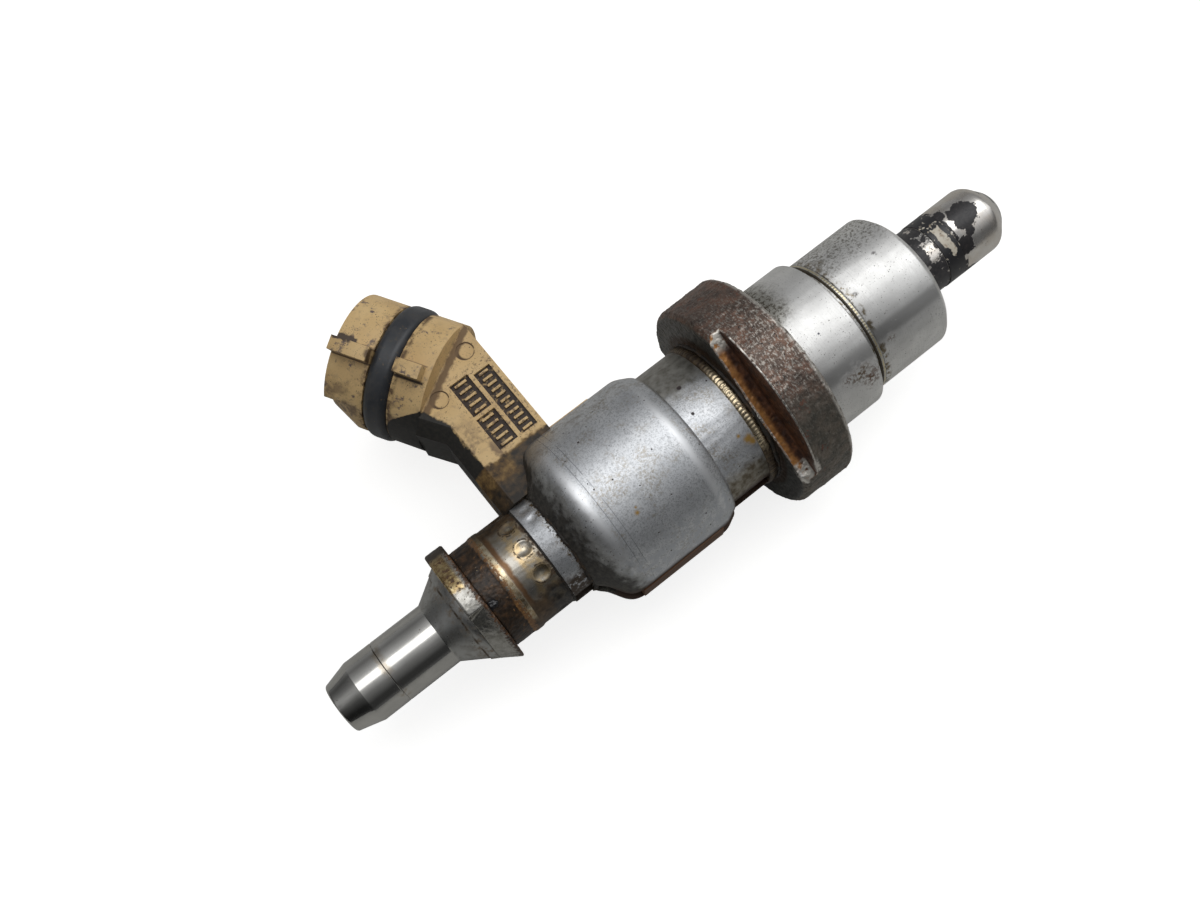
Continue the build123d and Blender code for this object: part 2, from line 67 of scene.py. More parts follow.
# ---- measures from the frame
def span(node):
    """Lowest and highest corner of a CAD node, in millimetres."""
    low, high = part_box(node)
    return low / MM, high / MM


bead_low, bead_high = span("retainer_weld")
ring_low, ring_high = span("connector_o_ring")

# The connector head's own axis, through the middle of its sealing ring.
HEAD_ANGLE = 59.5
head_dir = Vector((-math.cos(math.radians(HEAD_ANGLE)), math.sin(math.radians(HEAD_ANGLE)), 0))
ring_middle = (ring_low + ring_high) / 2
across_head = Vector((-head_dir.y, head_dir.x, 0))
ARM_FACE = 5.0

# Turns of the keying rib about the head's axis and of the flange's flats about the
# injector's axis, in degrees, and radii of the turned surfaces that carry stains.
KEY_TURN = 76.8
FLAT_TURN = 28.2
BARREL_RADIUS = 10.5
TAIL_RADIUS = 9.11
HOLDER_RADIUS = 9.6
RETAINER_RADIUS = 8.68
SHANK_RADIUS = 4.23


def around(x, radius, turn):
    """The point, in millimetres, at a station, a radius and a turn about the axis."""
    angle = math.radians(turn)
    return Vector((x, radius * math.sin(angle), radius * math.cos(angle)))


# ---- material kit
class Value:
    """A node's output, for sums and products.  A product of masks is 1 where all of them are 1."""

    def __init__(self, nodes, socket):
        self.nodes = nodes
        self.socket = socket

    def __add__(self, other):
        return self.nodes.math("ADD", self, other)

    def __radd__(self, other):
        return self.nodes.math("ADD", other, self)

    def __sub__(self, other):
        return self.nodes.math("SUBTRACT", self, other)

    def __rsub__(self, other):
        return self.nodes.math("SUBTRACT", other, self)

    def __mul__(self, other):
        return self.nodes.math("MULTIPLY", self, other)

    def __truediv__(self, other):
        return self.nodes.math("DIVIDE", self, other)

    def __abs__(self):
        return self.nodes.math("ABSOLUTE", self)


class Nodes:
    """Short ways to add the nodes of one tree and to join them."""

    def __init__(self, tree):
        self.tree = tree

    def link(self, value, socket):
        if isinstance(value, Value):
            self.tree.links.new(value.socket, socket)
        elif isinstance(value, tuple) and len(value) == 3 and len(socket.default_value) == 4:
            socket.default_value = (*value, 1)
        else:
            socket.default_value = value

    def add(self, kind, inputs=(), **settings):
        """A node with its settings, and with values or other nodes' outputs at its inputs."""
        node = self.tree.nodes.new("ShaderNode" + kind)
        for name, setting in settings.items():
            setattr(node, name, setting)
        for name, value in dict(inputs).items():
            self.link(value, node.inputs[name])
        return node

    def output(self, node, name=0):
        return Value(self, node.outputs[name])

    def math(self, operation, first, second=0.0):
        return self.output(self.add("Math", {0: first, 1: second}, operation=operation))

    def any_of(self, first, *others):
        """1 where any of the masks is 1."""
        for other in others:
            first = self.math("MAXIMUM", first, other)
        return first

    def split(self, place):
        node = self.add("SeparateXYZ", {0: place})
        return [self.output(node, number) for number in range(3)]

    def ranged(self, value, low, high, to_low=0.0, to_high=1.0, kind="SMOOTHSTEP"):
        """to_low up to low, to_high from high on, and a smooth way between the two."""
        limits = {"From Min": low, "From Max": high, "To Min": to_low, "To Max": to_high}
        return self.output(self.add("MapRange", {"Value": value, **limits}, interpolation_type=kind))

    def shades(self, value, *stops):
        """A colour ramp through (position, red, green, blue) stops."""
        node = self.add("ValToRGB", {0: value})
        elements = node.color_ramp.elements
        for _ in stops[2:]:
            elements.new(0.5)
        for element, (position, *color) in zip(elements, stops):
            element.position = position
            element.color = (*color, 1)
        return self.output(node)

    def blend(self, mask, under, over, data_type="RGBA"):
        """What is under where the mask is 0, and what is over where it is 1."""
        node = self.add("Mix", data_type=data_type)
        for value, socket in zip((mask, under, over), [s for s in node.inputs if s.enabled]):
            self.link(value, socket)
        return Value(self, [s for s in node.outputs if s.enabled][0])


class Finish(Nodes):
    """A procedural material built up in coats.  Its patterns are measured in millimetres.  In the
    functions that follow, "it" is the material being made."""

    def __init__(self, name, color, rough, metal=0.0, **constants):
        self.material = bpy.data.materials.new(name)
        self.material.use_nodes = True
        super().__init__(self.material.node_tree)
        self.shader = self.tree.nodes["Principled BSDF"]
        for socket, value in constants.items():
            self.shader.inputs[socket.replace("_", " ")].default_value = value
        self.place = self.vector("SCALE", self.output(self.add("TexCoord"), "Object"), Scale=1 / MM)
        self.x, self.y, self.z = self.split(self.place)
        self.radius = self.math("SQRT", self.y * self.y + self.z * self.z)
        self.turn = self.math("ARCTAN2", self.y, self.z) * (180 / math.pi)
        self.color = self.output(self.add("RGB"))
        self.color.socket.default_value = (*color, 1)
        self.rough = rough
        self.metal = metal
        self.height = None

    def vector(self, operation, first, second=(0, 0, 0), **others):
        node = self.add("VectorMath", {0: first, 1: second, **others}, operation=operation)
        is_number = operation in ("LENGTH", "DISTANCE", "DOT_PRODUCT")
        return self.output(node, "Value" if is_number else "Vector")

    def combine(self, x, y, z):
        return self.output(self.add("CombineXYZ", {0: x, 1: y, 2: z}))

    def noise(self, scale, detail=3.0, rough=0.55, where=None):
        inputs = {"Vector": where or self.place, "Scale": scale, "Detail": detail, "Roughness": rough}
        return self.output(self.add("TexNoise", inputs))

    def wander(self, value, scale, reach):
        """A value moved up and down by up to about half of reach, for uneven borders."""
        return value + (self.noise(scale, 4.0, 0.6) - 0.5) * (2 * reach)

    def step(self, value, low, high, scale=None, reach=0.0):
        """0 below low and 1 above high; low may be the larger.  The value may wander."""
        if scale:
            value = self.wander(value, scale, reach)
        return self.ranged(value, min(low, high), max(low, high), float(low >= high), float(low < high))

    def band(self, value, start, end, soft, scale=None, reach=0.0):
        """1 between start and end, fading over soft at each side.  The value may wander."""
        if scale:
            value = self.wander(value, scale, reach)
        return self.step(value, start - soft, start + soft) * self.step(value, end + soft, end - soft)

    def patches(self, low, high, *pattern):
        """Blotches where a noise pattern passes from low to high."""
        return self.step(self.noise(*pattern), low, high)

    def mottle(self, pattern, *stops):
        """Shades that follow a noise pattern."""
        return self.shades(self.noise(*pattern), *stops)

    def turned(self, along, about):
        """Coordinates that run along the axis and about it, without a seam."""
        return self.combine(self.x * along, self.y / self.radius * about, self.z / self.radius * about)

    def speckle(self, scale, size, share):
        """Sparse dots: cells nearer than size to their point, kept in share of the places."""
        cells = self.output(self.add("TexVoronoi", {"Vector": self.place, "Scale": scale}), "Distance")
        dots = self.step(cells, size, size * 0.6)
        return dots * self.patches(1 - share, 1 - share + 0.04, scale * 0.31, 1.0)

    def blot(self, point, radius, edge=0.25, wobble=0.5, grain=1.2):
        """A ragged spot about a point."""
        away = self.vector("DISTANCE", self.place, tuple(point))
        return self.step(away, radius + edge * radius, radius - edge * radius, grain, wobble * radius)

    def coat(self, mask, color=None, rough=None, metal=None, height=None):
        """Lays a colour, roughness, metalness and height, in millimetres, where the mask is 1."""
        if color is not None:
            self.color = self.blend(mask, self.color, color)
        if rough is not None:
            self.rough = self.blend(mask, self.rough, rough, "FLOAT")
        if metal is not None:
            self.metal = self.blend(mask, self.metal, metal, "FLOAT")
        if height is not None:
            self.raise_by(mask * height)

    def raise_by(self, height):
        self.height = height if self.height is None else self.height + height

    def grain(self, scale, depth, where=None, detail=3.0):
        """Fine relief of a given depth, in millimetres."""
        self.raise_by(self.noise(scale, detail, 0.6, where) * depth)

    def done(self):
        """Connects the coats and gives the material."""
        ends = {"Base Color": self.color, "Roughness": self.rough, "Metallic": self.metal}
        if self.height is not None:
            relief = {"Strength": 1.0, "Distance": MM, "Height": self.height}
            ends["Normal"] = self.output(self.add("Bump", relief))
        for name, value in ends.items():
            self.link(value, self.shader.inputs[name])
        return self.material


# Colours are in linear light.
SOOT = (0.012, 0.012, 0.014)


def turned_metal(name, color, rough, line_depth, line_pitch=9):
    """Turned steel: fine lines about the axis and a cloudy gloss."""
    it = Finish(name, color, rough, 1)
    lines = it.noise(1, 4, 0.7, it.turned(line_pitch, 0.8))
    cloud = it.noise(0.35, 3)
    it.color = it.blend(it.step(cloud, 0.3, 0.75), tuple(c * 0.82 for c in color), color)
    it.rough = lines * 0.14 + (rough - 0.07)
    it.raise_by(lines * line_depth)
    return it


# ---- metal finishes
def polished_inlet():
    """Polished spigot and satin cone, brown where the cone meets the collar."""
    it = turned_metal("inlet_steel", (0.58, 0.57, 0.54), 0.12, 0.0004)
    it.coat(it.patches(0.45, 0.75, 1, 4, 0.6, it.turned(0.25, 6)), (0.5, 0.49, 0.46), 0.17)
    cone = it.step(it.x, -47.45, -47.15)
    it.coat(cone, (0.4, 0.4, 0.385), 0.34)
    it.coat(cone * it.patches(0.42, 0.8, 1.1, 5, 0.6), (0.26, 0.25, 0.23), 0.42)
    brown = it.step(it.x, -46.4, -44.4) * it.patches(0.45, 0.7, 1.3, 4, 0.6)
    it.coat(brown, (0.2, 0.15, 0.1), 0.5, 0.6)
    line = it.band(it.x, -44.75, -44.55, 0.06)
    it.coat(line * it.patches(0.35, 0.55, 0.8), (0.1, 0.075, 0.05), 0.5)
    tint = it.band(it.x, -54.3, -53.2, 0.3) * it.patches(0.45, 0.65, 0.7)
    it.coat(tint, (0.4, 0.36, 0.3), 0.22)
    groove = it.band(it.x, -53.83, -53.75, 0.04) * it.band(it.turn, -60, 40, 10)
    it.coat(groove, (0.1, 0.09, 0.08), 0.4)
    it.coat(it.speckle(1.6, 0.13, 0.42), (0.14, 0.12, 0.1), 0.45)
    it.coat(cone * it.speckle(2.6, 0.16, 0.5), (0.08, 0.07, 0.05), 0.5)
    return it.done()


def stained_collar():
    """Collar rim: golden and brown above, plain grey below, rusty along its far edge."""
    it = Finish("collar_metal", (0.4, 0.39, 0.36), 0.27, 1)
    it.coat(it.patches(0.4, 0.72, 1.2, 4, 0.6), (0.27, 0.26, 0.23), 0.36)
    gold = it.band(it.turn, 2, 62, 3, 0.8, 8) * it.step(it.x, -41.9, -42.4)
    it.coat(gold, it.mottle((1.6, 5, 0.65), (0.34, 0.2, 0.12, 0.055), (0.5, 0.46, 0.34, 0.17),
        (0.66, 0.62, 0.5, 0.28)), 0.26)
    it.coat(gold * it.patches(0.54, 0.6, 2.4, 5, 0.65), (0.085, 0.045, 0.022), 0.6, 0.2)
    rim = it.step(it.x, -42.25, -41.65, 3.2, 0.9)
    it.coat(rim, it.mottle((2.2, 4, 0.6), (0.4, 0.035, 0.02, 0.012), (0.62, 0.14, 0.065, 0.026),
        (0.78, 0.3, 0.16, 0.06)), 0.5, 0.3, 0.02)
    dark = it.any_of(it.step(it.turn, 36, 50, 0.9, 8), it.step(it.turn, -125, -140))
    it.coat(dark, (0.045, 0.034, 0.024), 0.5, 0.4)
    it.coat(it.speckle(2.4, 0.16, 0.45), (0.04, 0.03, 0.02), 0.6, 0.2)
    it.grain(3.5, 0.008)
    return it.done()


def stained_sleeve():
    """Sleeve: crusted dark brown beside the collar, a ridge with a painted cream highlight along its crest,
    stained metal to the yoke.
    """
    it = Finish("sleeve_metal", (0.37, 0.35, 0.31), 0.27, 1)
    it.coat(it.patches(0.4, 0.7, 0.9, 4), (0.27, 0.235, 0.18), 0.34)
    # Golden halos about the dimples, brown beside the ridge, darker to both sides.
    halo = it.band(it.x, -36.3, -34, 0.35, 0.9, 0.5) * it.patches(0.38, 0.58, 0.7, 3)
    it.coat(halo, (0.5, 0.38, 0.22), 0.24)
    it.coat(it.band(it.x, -38, -37.35, 0.2, 0.8, 0.3), (0.17, 0.095, 0.048), 0.36, 0.8)
    sides = it.any_of(it.step(it.turn, 18, 46, 0.8, 14), it.step(it.turn, -34, -56, 0.8, 14))
    it.coat(sides, it.mottle((1.1, 5, 0.6), (0.35, 0.045, 0.03, 0.018),
        (0.65, 0.12, 0.08, 0.045)), 0.42, 0.6)
    # The crusted stretch beside the collar.
    crust = it.step(it.x, -38.75, -39.1, 1.4, 0.35)
    it.coat(crust, it.mottle((1.3, 5, 0.65), (0.36, 0.012, 0.008, 0.006), (0.52, 0.034, 0.021, 0.012),
        (0.66, 0.085, 0.045, 0.021)), 0.42, 0.3, 0.01)
    orange = crust * it.patches(0.64, 0.7, 2.1, 4, 0.6)
    it.coat(orange, (0.24, 0.12, 0.04), 0.6, 0.1)
    flecks = crust * it.patches(0.68, 0.74, 3.4, 3, 0.6) * it.band(it.turn, -30, 30, 10)
    it.coat(flecks, (0.6, 0.48, 0.28), 0.28, 0.9)
    streak = it.band(it.x, -39.15, -38.85, 0.1, 1.6, 0.3) * it.step(it.turn, -30, -44, 1.2, 12)
    it.coat(streak, (0.34, 0.17, 0.055), 0.5, 0.2)
    # The ridge: brown and speckled on its near flank, with a painted cream highlight along its crest on the
    # side facing the light.
    crest_highlight = it.band(it.x, -38.75, -38.02, 0.09) * it.band(it.turn, -64, 40, 12)
    it.coat(crest_highlight, it.mottle((1.8, 4), (0.35, 0.4, 0.28, 0.15), (0.6, 0.66, 0.58, 0.42)), 0.25, 1)
    flank = it.band(it.x, -39.1, -38.5, 0.1) * it.patches(0.42, 0.52, 3, 4, 0.7)
    it.coat(flank, (0.2, 0.105, 0.045), 0.45, 0.5)
    # Dimples: a painted highlight inside, and painted shade in a dark rim.
    for turn in range(0, 360, 30):
        near = it.vector("DISTANCE", it.place, tuple(around(-35, 6.16, turn)))
        it.coat(it.step(near, 0.4, 0.2), (0.56, 0.5, 0.38), 0.24, 1)
        rim = it.band(near, 0.96, 1.16, 0.07) * it.patches(0.44, 0.56, 1.8, 3)
        it.coat(rim, (0.06, 0.04, 0.022), 0.45, 0.4)
    by_yoke = it.step(it.x, -34.4, -33.9, 1.2, 0.8) * it.patches(0.4, 0.55, 1.3, 3)
    it.coat(by_yoke, (0.07, 0.042, 0.022), 0.5, 0.3, 0.02)
    below = it.step(it.x, -36.2, -35.4, 1, 0.7) * it.step(it.turn, -40, -54, 1, 14)
    it.coat(below, it.mottle((1.4, 4), (0.45, 0.012, 0.01, 0.008),
        (0.68, 0.07, 0.058, 0.04)), 0.45, 0.2, 0.02)
    it.coat(it.speckle(2.3, 0.17, 0.5), (0.02, 0.015, 0.01), 0.6, 0)
    it.grain(4, 0.006)
    return it.done()


def plated_yoke():
    """Dull zinc plate: pale grey, cloudy, with dirt in the neck, scattered specks, painted highlights on
    the bends and painted shade on the underside.
    """
    it = Finish("yoke_plate", (0.66, 0.675, 0.695), 0.47, 1)
    it.color = it.mottle((0.3, 4), (0.3, 0.58, 0.595, 0.615), (0.55, 0.67, 0.685, 0.7),
        (0.75, 0.73, 0.74, 0.75))
    it.coat(it.patches(0.48, 0.68, 1, 5, 0.75, it.turned(3, 26)), (0.42, 0.43, 0.44), 0.5)
    it.coat(it.patches(0.5, 0.64, 6, 3, 0.7), (0.42, 0.43, 0.44), 0.48)
    it.coat(it.patches(0.5, 0.64, 0.35, 3) * it.patches(0.46, 0.62, 3.4, 5, 0.7), (0.4, 0.375, 0.335), 0.46)
    # Painted highlights where the barrel bends at either end, on the side facing the light.
    front = it.band(it.turn, -58, 28, 22)
    it.coat(front * it.band(it.x, -28.4, -27.1, 0.5), (0.84, 0.85, 0.86), 0.42)
    it.coat(front * it.band(it.x, -15.9, -15.1, 0.35), (0.72, 0.73, 0.74), 0.46)
    around_lines = it.noise(1, 4, 0.65, it.turned(12, 1.5))
    it.rough = it.rough + (around_lines - 0.5) * 0.16
    it.grain(6, 0.006)
    it.grain(1, 0.004, it.turned(9, 1.5))
    # Two scribed lines about the barrel.
    for station in (-26.55, -25.8):
        line = it.band(it.x, station - 0.03, station + 0.03, 0.03, 0.5, 0.05)
        it.coat(line * it.patches(0.32, 0.5, 0.8), (0.26, 0.27, 0.29), 0.5, None, -0.012)
    # Dull blue-grey cloud low on the barrel, brown-grey film at the far end of the tail.
    low = it.step(it.turn, -42, -62, 0.4, 20) * it.patches(0.35, 0.65, 1.3, 4)
    it.coat(low, (0.5, 0.52, 0.55), 0.46)
    tail = it.step(it.x, -14.3, -13.6)
    film_top = tail * it.step(it.turn, 8, 22, 0.7, 12)
    it.coat(film_top, it.mottle((1.1, 4), (0.35, 0.19, 0.18, 0.155), (0.7, 0.4, 0.39, 0.36)), 0.45, 0.9)
    film_low = tail * it.step(it.turn, -50, -64, 0.7, 10)
    it.coat(film_low, it.mottle((1.4, 4), (0.35, 0.13, 0.105, 0.07), (0.7, 0.36, 0.34, 0.29)), 0.45, 0.8)
    # The step from barrel to tail holds a dark line with a little rust.
    step = it.band(it.x, -14.35, -13.95, 0.12) * it.step(it.radius, 9.75, 9.45)
    it.coat(step, it.mottle((1, 3), (0.45, 0.045, 0.038, 0.032), (0.65, 0.2, 0.1, 0.045)), 0.5, 0.5)
    # Dirt in the neck and up the shoulder, ragged, thicker to both sides.
    sides = it.step(abs(it.turn + 6), 30, 84)
    climb = it.wander(it.x, 0.9, 1.5) + sides * -2.2
    shoulder = it.step(it.x, -31.45, -31.05)
    it.coat(shoulder * it.step(climb, -27.6, -29.8), (0.33, 0.33, 0.32), 0.5, 0.9)
    it.coat(shoulder * it.step(climb, -28.9, -30.3), it.mottle((2.2, 5, 0.65), (0.35, 0.014, 0.013, 0.011),
        (0.7, 0.07, 0.064, 0.054)), 0.5, 0.2, 0.01)
    # Painted shade along the barrel's underside, towards the shoulder.
    under = it.step(it.turn, -64, -84, 0.8, 16) * it.step(it.x, -26.2, -28, 0.9, 1.5)
    it.coat(under, it.mottle((1.6, 5, 0.65), (0.4, 0.02, 0.016, 0.012), (0.7, 0.15, 0.14, 0.11)), 0.5, 0.3)
    it.coat(shoulder * it.speckle(2.4, 0.22, 0.6) * it.step(it.x, -26.5, -29),
        (0.035, 0.032, 0.028), 0.55, 0.1, 0.01)
    # Rust specks along the neck's far edge, and painted shade at its lower side.
    neck_edge = it.step(it.x, -31.9, -31.4, 1.5, 0.8) * it.step(it.x, -31, -31.2)
    neck_edge *= it.patches(0.46, 0.54, 2.4, 4, 0.65)
    it.coat(neck_edge, (0.09, 0.062, 0.03), 0.6, 0.3, 0.02)
    neck_underside_shade = it.step(it.x, -31, -31.3) * it.step(it.turn, -44, -60, 1, 16)
    neck_underside_shade *= it.patches(0.34, 0.5, 1.7, 4, 0.6)
    it.coat(neck_underside_shade, (0.06, 0.042, 0.028), 0.5, 0.4)
    # Specks and pits.
    it.coat(it.speckle(0.9, 0.1, 0.55), (0.05, 0.045, 0.04), 0.6, 0.2, -0.02)
    it.coat(it.speckle(3, 0.15, 0.48), (0.16, 0.16, 0.16), 0.5, 0.5)
    for x, radius, turn, size in ((-11.66, TAIL_RADIUS, 18.2, 0.26), (-12.5, TAIL_RADIUS, -3.1, 0.17),
            (-9, TAIL_RADIUS, 9.6, 0.1), (-23.83, BARREL_RADIUS, 25.7, 0.14)):
        it.coat(it.blot(around(x, radius, turn), size, 0.3, 0.35, 2.5), (0.03, 0.02, 0.02), 0.5, 0, -0.03)
    # Brown and golden stains.
    for x, radius, turn, size in ((-9.25, TAIL_RADIUS, -39.5, 0.5), (-9, TAIL_RADIUS, -43, 0.34),
            (-10.06, TAIL_RADIUS, -33.8, 0.2), (-23.8, BARREL_RADIUS, -29.9, 0.24),
            (-23.6, BARREL_RADIUS, -27, 0.14)):
        it.coat(it.blot(around(x, radius, turn), size, 0.7, 0.8, 1.8), (0.4, 0.24, 0.06), 0.45, 0.5)
    # Greasy smudges along the barrel by the arm, and the rusty slots.
    by_arm = it.step(it.turn, 30, 44) * it.patches(0.48, 0.7, 1, 5, 0.65, it.turned(0.9, 9))
    it.coat(by_arm, (0.28, 0.26, 0.235), 0.5, 0.7)
    slot = it.step(abs(it.z), 2.3, 1.3) * it.step(it.radius, 8, 8.6)
    it.coat(slot, (0.06, 0.032, 0.018), 0.6, 0.2)
    return it.done()


def rusty_forging():
    """Dark, granular forged steel, rusted, with worn bright corners and stained flats."""
    it = Finish("forging", (0.115, 0.095, 0.08), 0.45, 0.65)
    it.color = it.mottle((0.6, 5, 0.65), (0.32, 0.064, 0.048, 0.04), (0.48, 0.128, 0.092, 0.074),
        (0.6, 0.18, 0.104, 0.074), (0.76, 0.205, 0.165, 0.135))
    lower = it.step(it.turn, -20, -45, 0.4, 14)
    it.coat(lower, it.mottle((0.8, 4), (0.35, 0.085, 0.08, 0.066), (0.65, 0.165, 0.14, 0.112)), 0.46)
    # Bright worn specks everywhere, denser on the front as painted glints where the light falls.
    front = it.band(it.turn, -30, 28, 8, 0.5, 12)
    wear_and_glints = it.patches(0.52, 0.57, 1, 5, 0.75, it.turned(4.5, 30)) * (front * 0.62 + 0.26)
    it.coat(wear_and_glints, (0.36, 0.335, 0.298), 0.38, 0.9)
    it.coat(it.patches(0.6, 0.68, 2.6, 4, 0.65), (0.03, 0.022, 0.018), 0.7, 0)
    it.coat(it.patches(0.56, 0.66, 0.5, 3) * it.patches(0.52, 0.62, 2.7, 4),
        (0.125, 0.055, 0.034), 0.6, 0.2)
    it.grain(5, 0.05, None, 5)
    it.grain(1.6, 0.05, None, 4)
    # The back face is grey with fine pits, dark brown beside the hub.
    back = it.step(it.x, -6.85, -7.05)
    it.coat(back, it.mottle((2.4, 5, 0.7), (0.35, 0.045, 0.044, 0.042),
        (0.62, 0.13, 0.128, 0.12)), 0.4, 0.7)
    hub = back * it.step(it.radius, 10.6, 9.9, 1, 0.6)
    it.coat(hub, (0.05, 0.03, 0.018), 0.5, 0.3)
    # The flats: orange towards the hub, dark against the step with painted shade from the step, bright
    # where worn at the ends.
    turn = math.radians(FLAT_TURN)
    along_flat = it.y * math.cos(turn) + it.z * math.sin(turn)
    across = abs(it.z * math.cos(turn) - it.y * math.sin(turn))
    on_flat = it.step(across, 9.05, 9.15) * it.step(across, 9.46, 9.33) * it.step(it.x, -5.1, -5.4)
    it.coat(on_flat, it.mottle((1.2, 4, 0.6), (0.35, 0.28, 0.115, 0.03),
        (0.65, 0.52, 0.24, 0.07)), 0.36, 0.35)
    dark_and_shaded_half = it.step(it.x, -6.6, -5.95, 0.7, 0.35)
    it.coat(on_flat * dark_and_shaded_half, it.mottle((0.9, 4), (0.4, 0.048, 0.018, 0.009),
        (0.66, 0.175, 0.068, 0.026)), 0.42, 0.3)
    ends = it.any_of(it.step(along_flat, 7, 8.2), it.step(along_flat, -6.9, -7.6, 1.2, 0.8))
    it.coat(on_flat * ends * it.patches(0.35, 0.5, 1.6, 4), (0.62, 0.59, 0.53), 0.42, 0.9)
    # The step's wall: dark red-brown with painted shade.
    step = it.step(across, 9.15, 9.35) * it.band(it.x, -5.52, -5.3, 0.05)
    it.coat(step, it.mottle((1, 4), (0.38, 0.04, 0.017, 0.01), (0.68, 0.15, 0.06, 0.026)), 0.5, 0.1)
    # Bright worn corners: the nozzle-side rim, and both borders of the flats.
    nozzle_side = it.step(it.radius, 12.6, 12.95) * it.step(it.x, -0.75, -0.35)
    flat_border = it.band(it.x, -5.28, -5.12, 0.05) * it.step(across, 9.3, 9.6)
    flat_border *= it.step(it.radius, 13.4, 13.2)
    back_border = it.step(it.x, -6.8, -6.98) * it.step(across, 9.05, 9.18) * it.step(across, 9.46, 9.36)
    corner = it.any_of(nozzle_side, flat_border, back_border) * it.patches(0.34, 0.5, 1.3, 4)
    it.coat(corner, (0.6, 0.57, 0.52), 0.26, 1)
    # A wide worn patch where the lower end of each flat breaks out of the rim.
    breakout = it.step(along_flat, -7.2, -8.6) * it.band(it.x, -5.3, -4.75, 0.15)
    breakout *= it.step(across, 9.3, 9.5)
    breakout *= it.patches(0.35, 0.5, 2.2, 4)
    it.coat(breakout, (0.66, 0.63, 0.58), 0.42, 1)
    low_corner = it.step(along_flat, -7.4, -8.4) * it.step(it.x, -6.35, -6.75, 1.4, 0.5)
    low_corner *= it.band(across, 8.5, 9.46, 0.2)
    low_corner *= it.patches(0.32, 0.46, 2.2, 4)
    it.coat(low_corner, (0.7, 0.675, 0.63), 0.38, 1)
    return it.done()


def machined_land(name, radius, dirt):
    """Fine-turned steel with small pits, and stains, each (station, turn, size, colour)."""
    it = turned_metal(name, (0.87, 0.865, 0.845), 0.5, 0.0008, 8)
    it.coat(it.patches(0.5, 0.72, 5, 4, 0.75), (0.66, 0.655, 0.635), 0.54)
    streaks = it.patches(0.5, 0.72, 1, 5, 0.7, it.turned(10, 2.2))
    it.coat(streaks, (0.67, 0.665, 0.645), 0.52)
    it.coat(it.speckle(1.9, 0.13, 0.52), (0.11, 0.1, 0.09), 0.5, 0.6, -0.012)
    it.coat(it.speckle(4.2, 0.2, 0.5), (0.22, 0.21, 0.19), 0.5, 0.7)
    for x, turn, size, color in dirt:
        stain = it.blot(around(x, radius, turn), size, 0.9, 1.3, 1.6) * it.patches(0.42, 0.58, 2.6, 4, 0.65)
        it.coat(stain, color, 0.5, 0.4)
    it.grain(3, 0.003)
    return it


def holder_land():
    """The large land: dirt beside the flange, brown stains lower down."""
    stains = [(3.6, -48.9, 0.75, (0.12, 0.07, 0.045)), (5.3, -51.5, 1.15, (0.13, 0.09, 0.055)),
        (6.3, -60, 0.95, (0.14, 0.085, 0.055)), (4.6, 140, 1.2, (0.13, 0.08, 0.05))]
    it = machined_land("holder_steel", HOLDER_RADIUS, stains)
    it.coat(it.blot(around(3.5, HOLDER_RADIUS, -12.4), 0.12, 0.3, 0.3, 2.5), (0.1, 0.1, 0.12), 0.5)
    upper = it.step(it.x, 4.6, 1.6, 0.8, 1.6) * it.step(it.turn, 2, 18, 0.8, 12)
    it.coat(upper, (0.4, 0.39, 0.35), 0.42)
    it.coat(upper * it.patches(0.46, 0.56, 2.6, 5, 0.7), (0.065, 0.055, 0.04), 0.55, 0.4)
    root = it.step(it.x, 0.75, 0.25, 1.5, 0.5) * it.patches(0.4, 0.55, 1.4, 4)
    it.coat(root, (0.14, 0.1, 0.06), 0.5, 0.5)
    low_band = it.band(it.turn, -47, -36, 3)
    it.coat(low_band, (0.6, 0.595, 0.58), 0.4)
    return it.done()


def retainer_land():
    """The small land: fine pits, dirt by the weld and a dull smear."""
    stains = [(14.42, 23.2, 0.2, (0.1, 0.09, 0.08)), (13.8, 27, 0.16, (0.1, 0.09, 0.08)),
        (14.84, 10, 0.22, (0.2, 0.19, 0.19)), (9.9, -5.8, 0.22, (0.2, 0.19, 0.18)),
        (10.6, -47, 0.5, (0.17, 0.13, 0.1)), (9.8, 34, 0.8, (0.15, 0.13, 0.1))]
    it = machined_land("retainer_steel", RETAINER_RADIUS, stains)
    dirt = it.step(it.x, 9.75, 9.25, 1.6, 0.5) * it.patches(0.44, 0.6, 1.5, 4)
    it.coat(dirt, (0.24, 0.2, 0.14), 0.42)
    upper = it.step(it.turn, 12, 34, 0.8, 12) * it.patches(0.48, 0.6, 3.2, 5, 0.7)
    it.coat(upper, (0.3, 0.285, 0.255), 0.46)
    low_band = it.band(it.turn, -46, -34, 3)
    it.coat(low_band, (0.6, 0.595, 0.58), 0.4)
    end = it.step(it.x, 18.75, 19.05) * it.patches(0.45, 0.6, 1.4, 4)
    it.coat(end, (0.4, 0.36, 0.28), 0.36)
    return it.done()


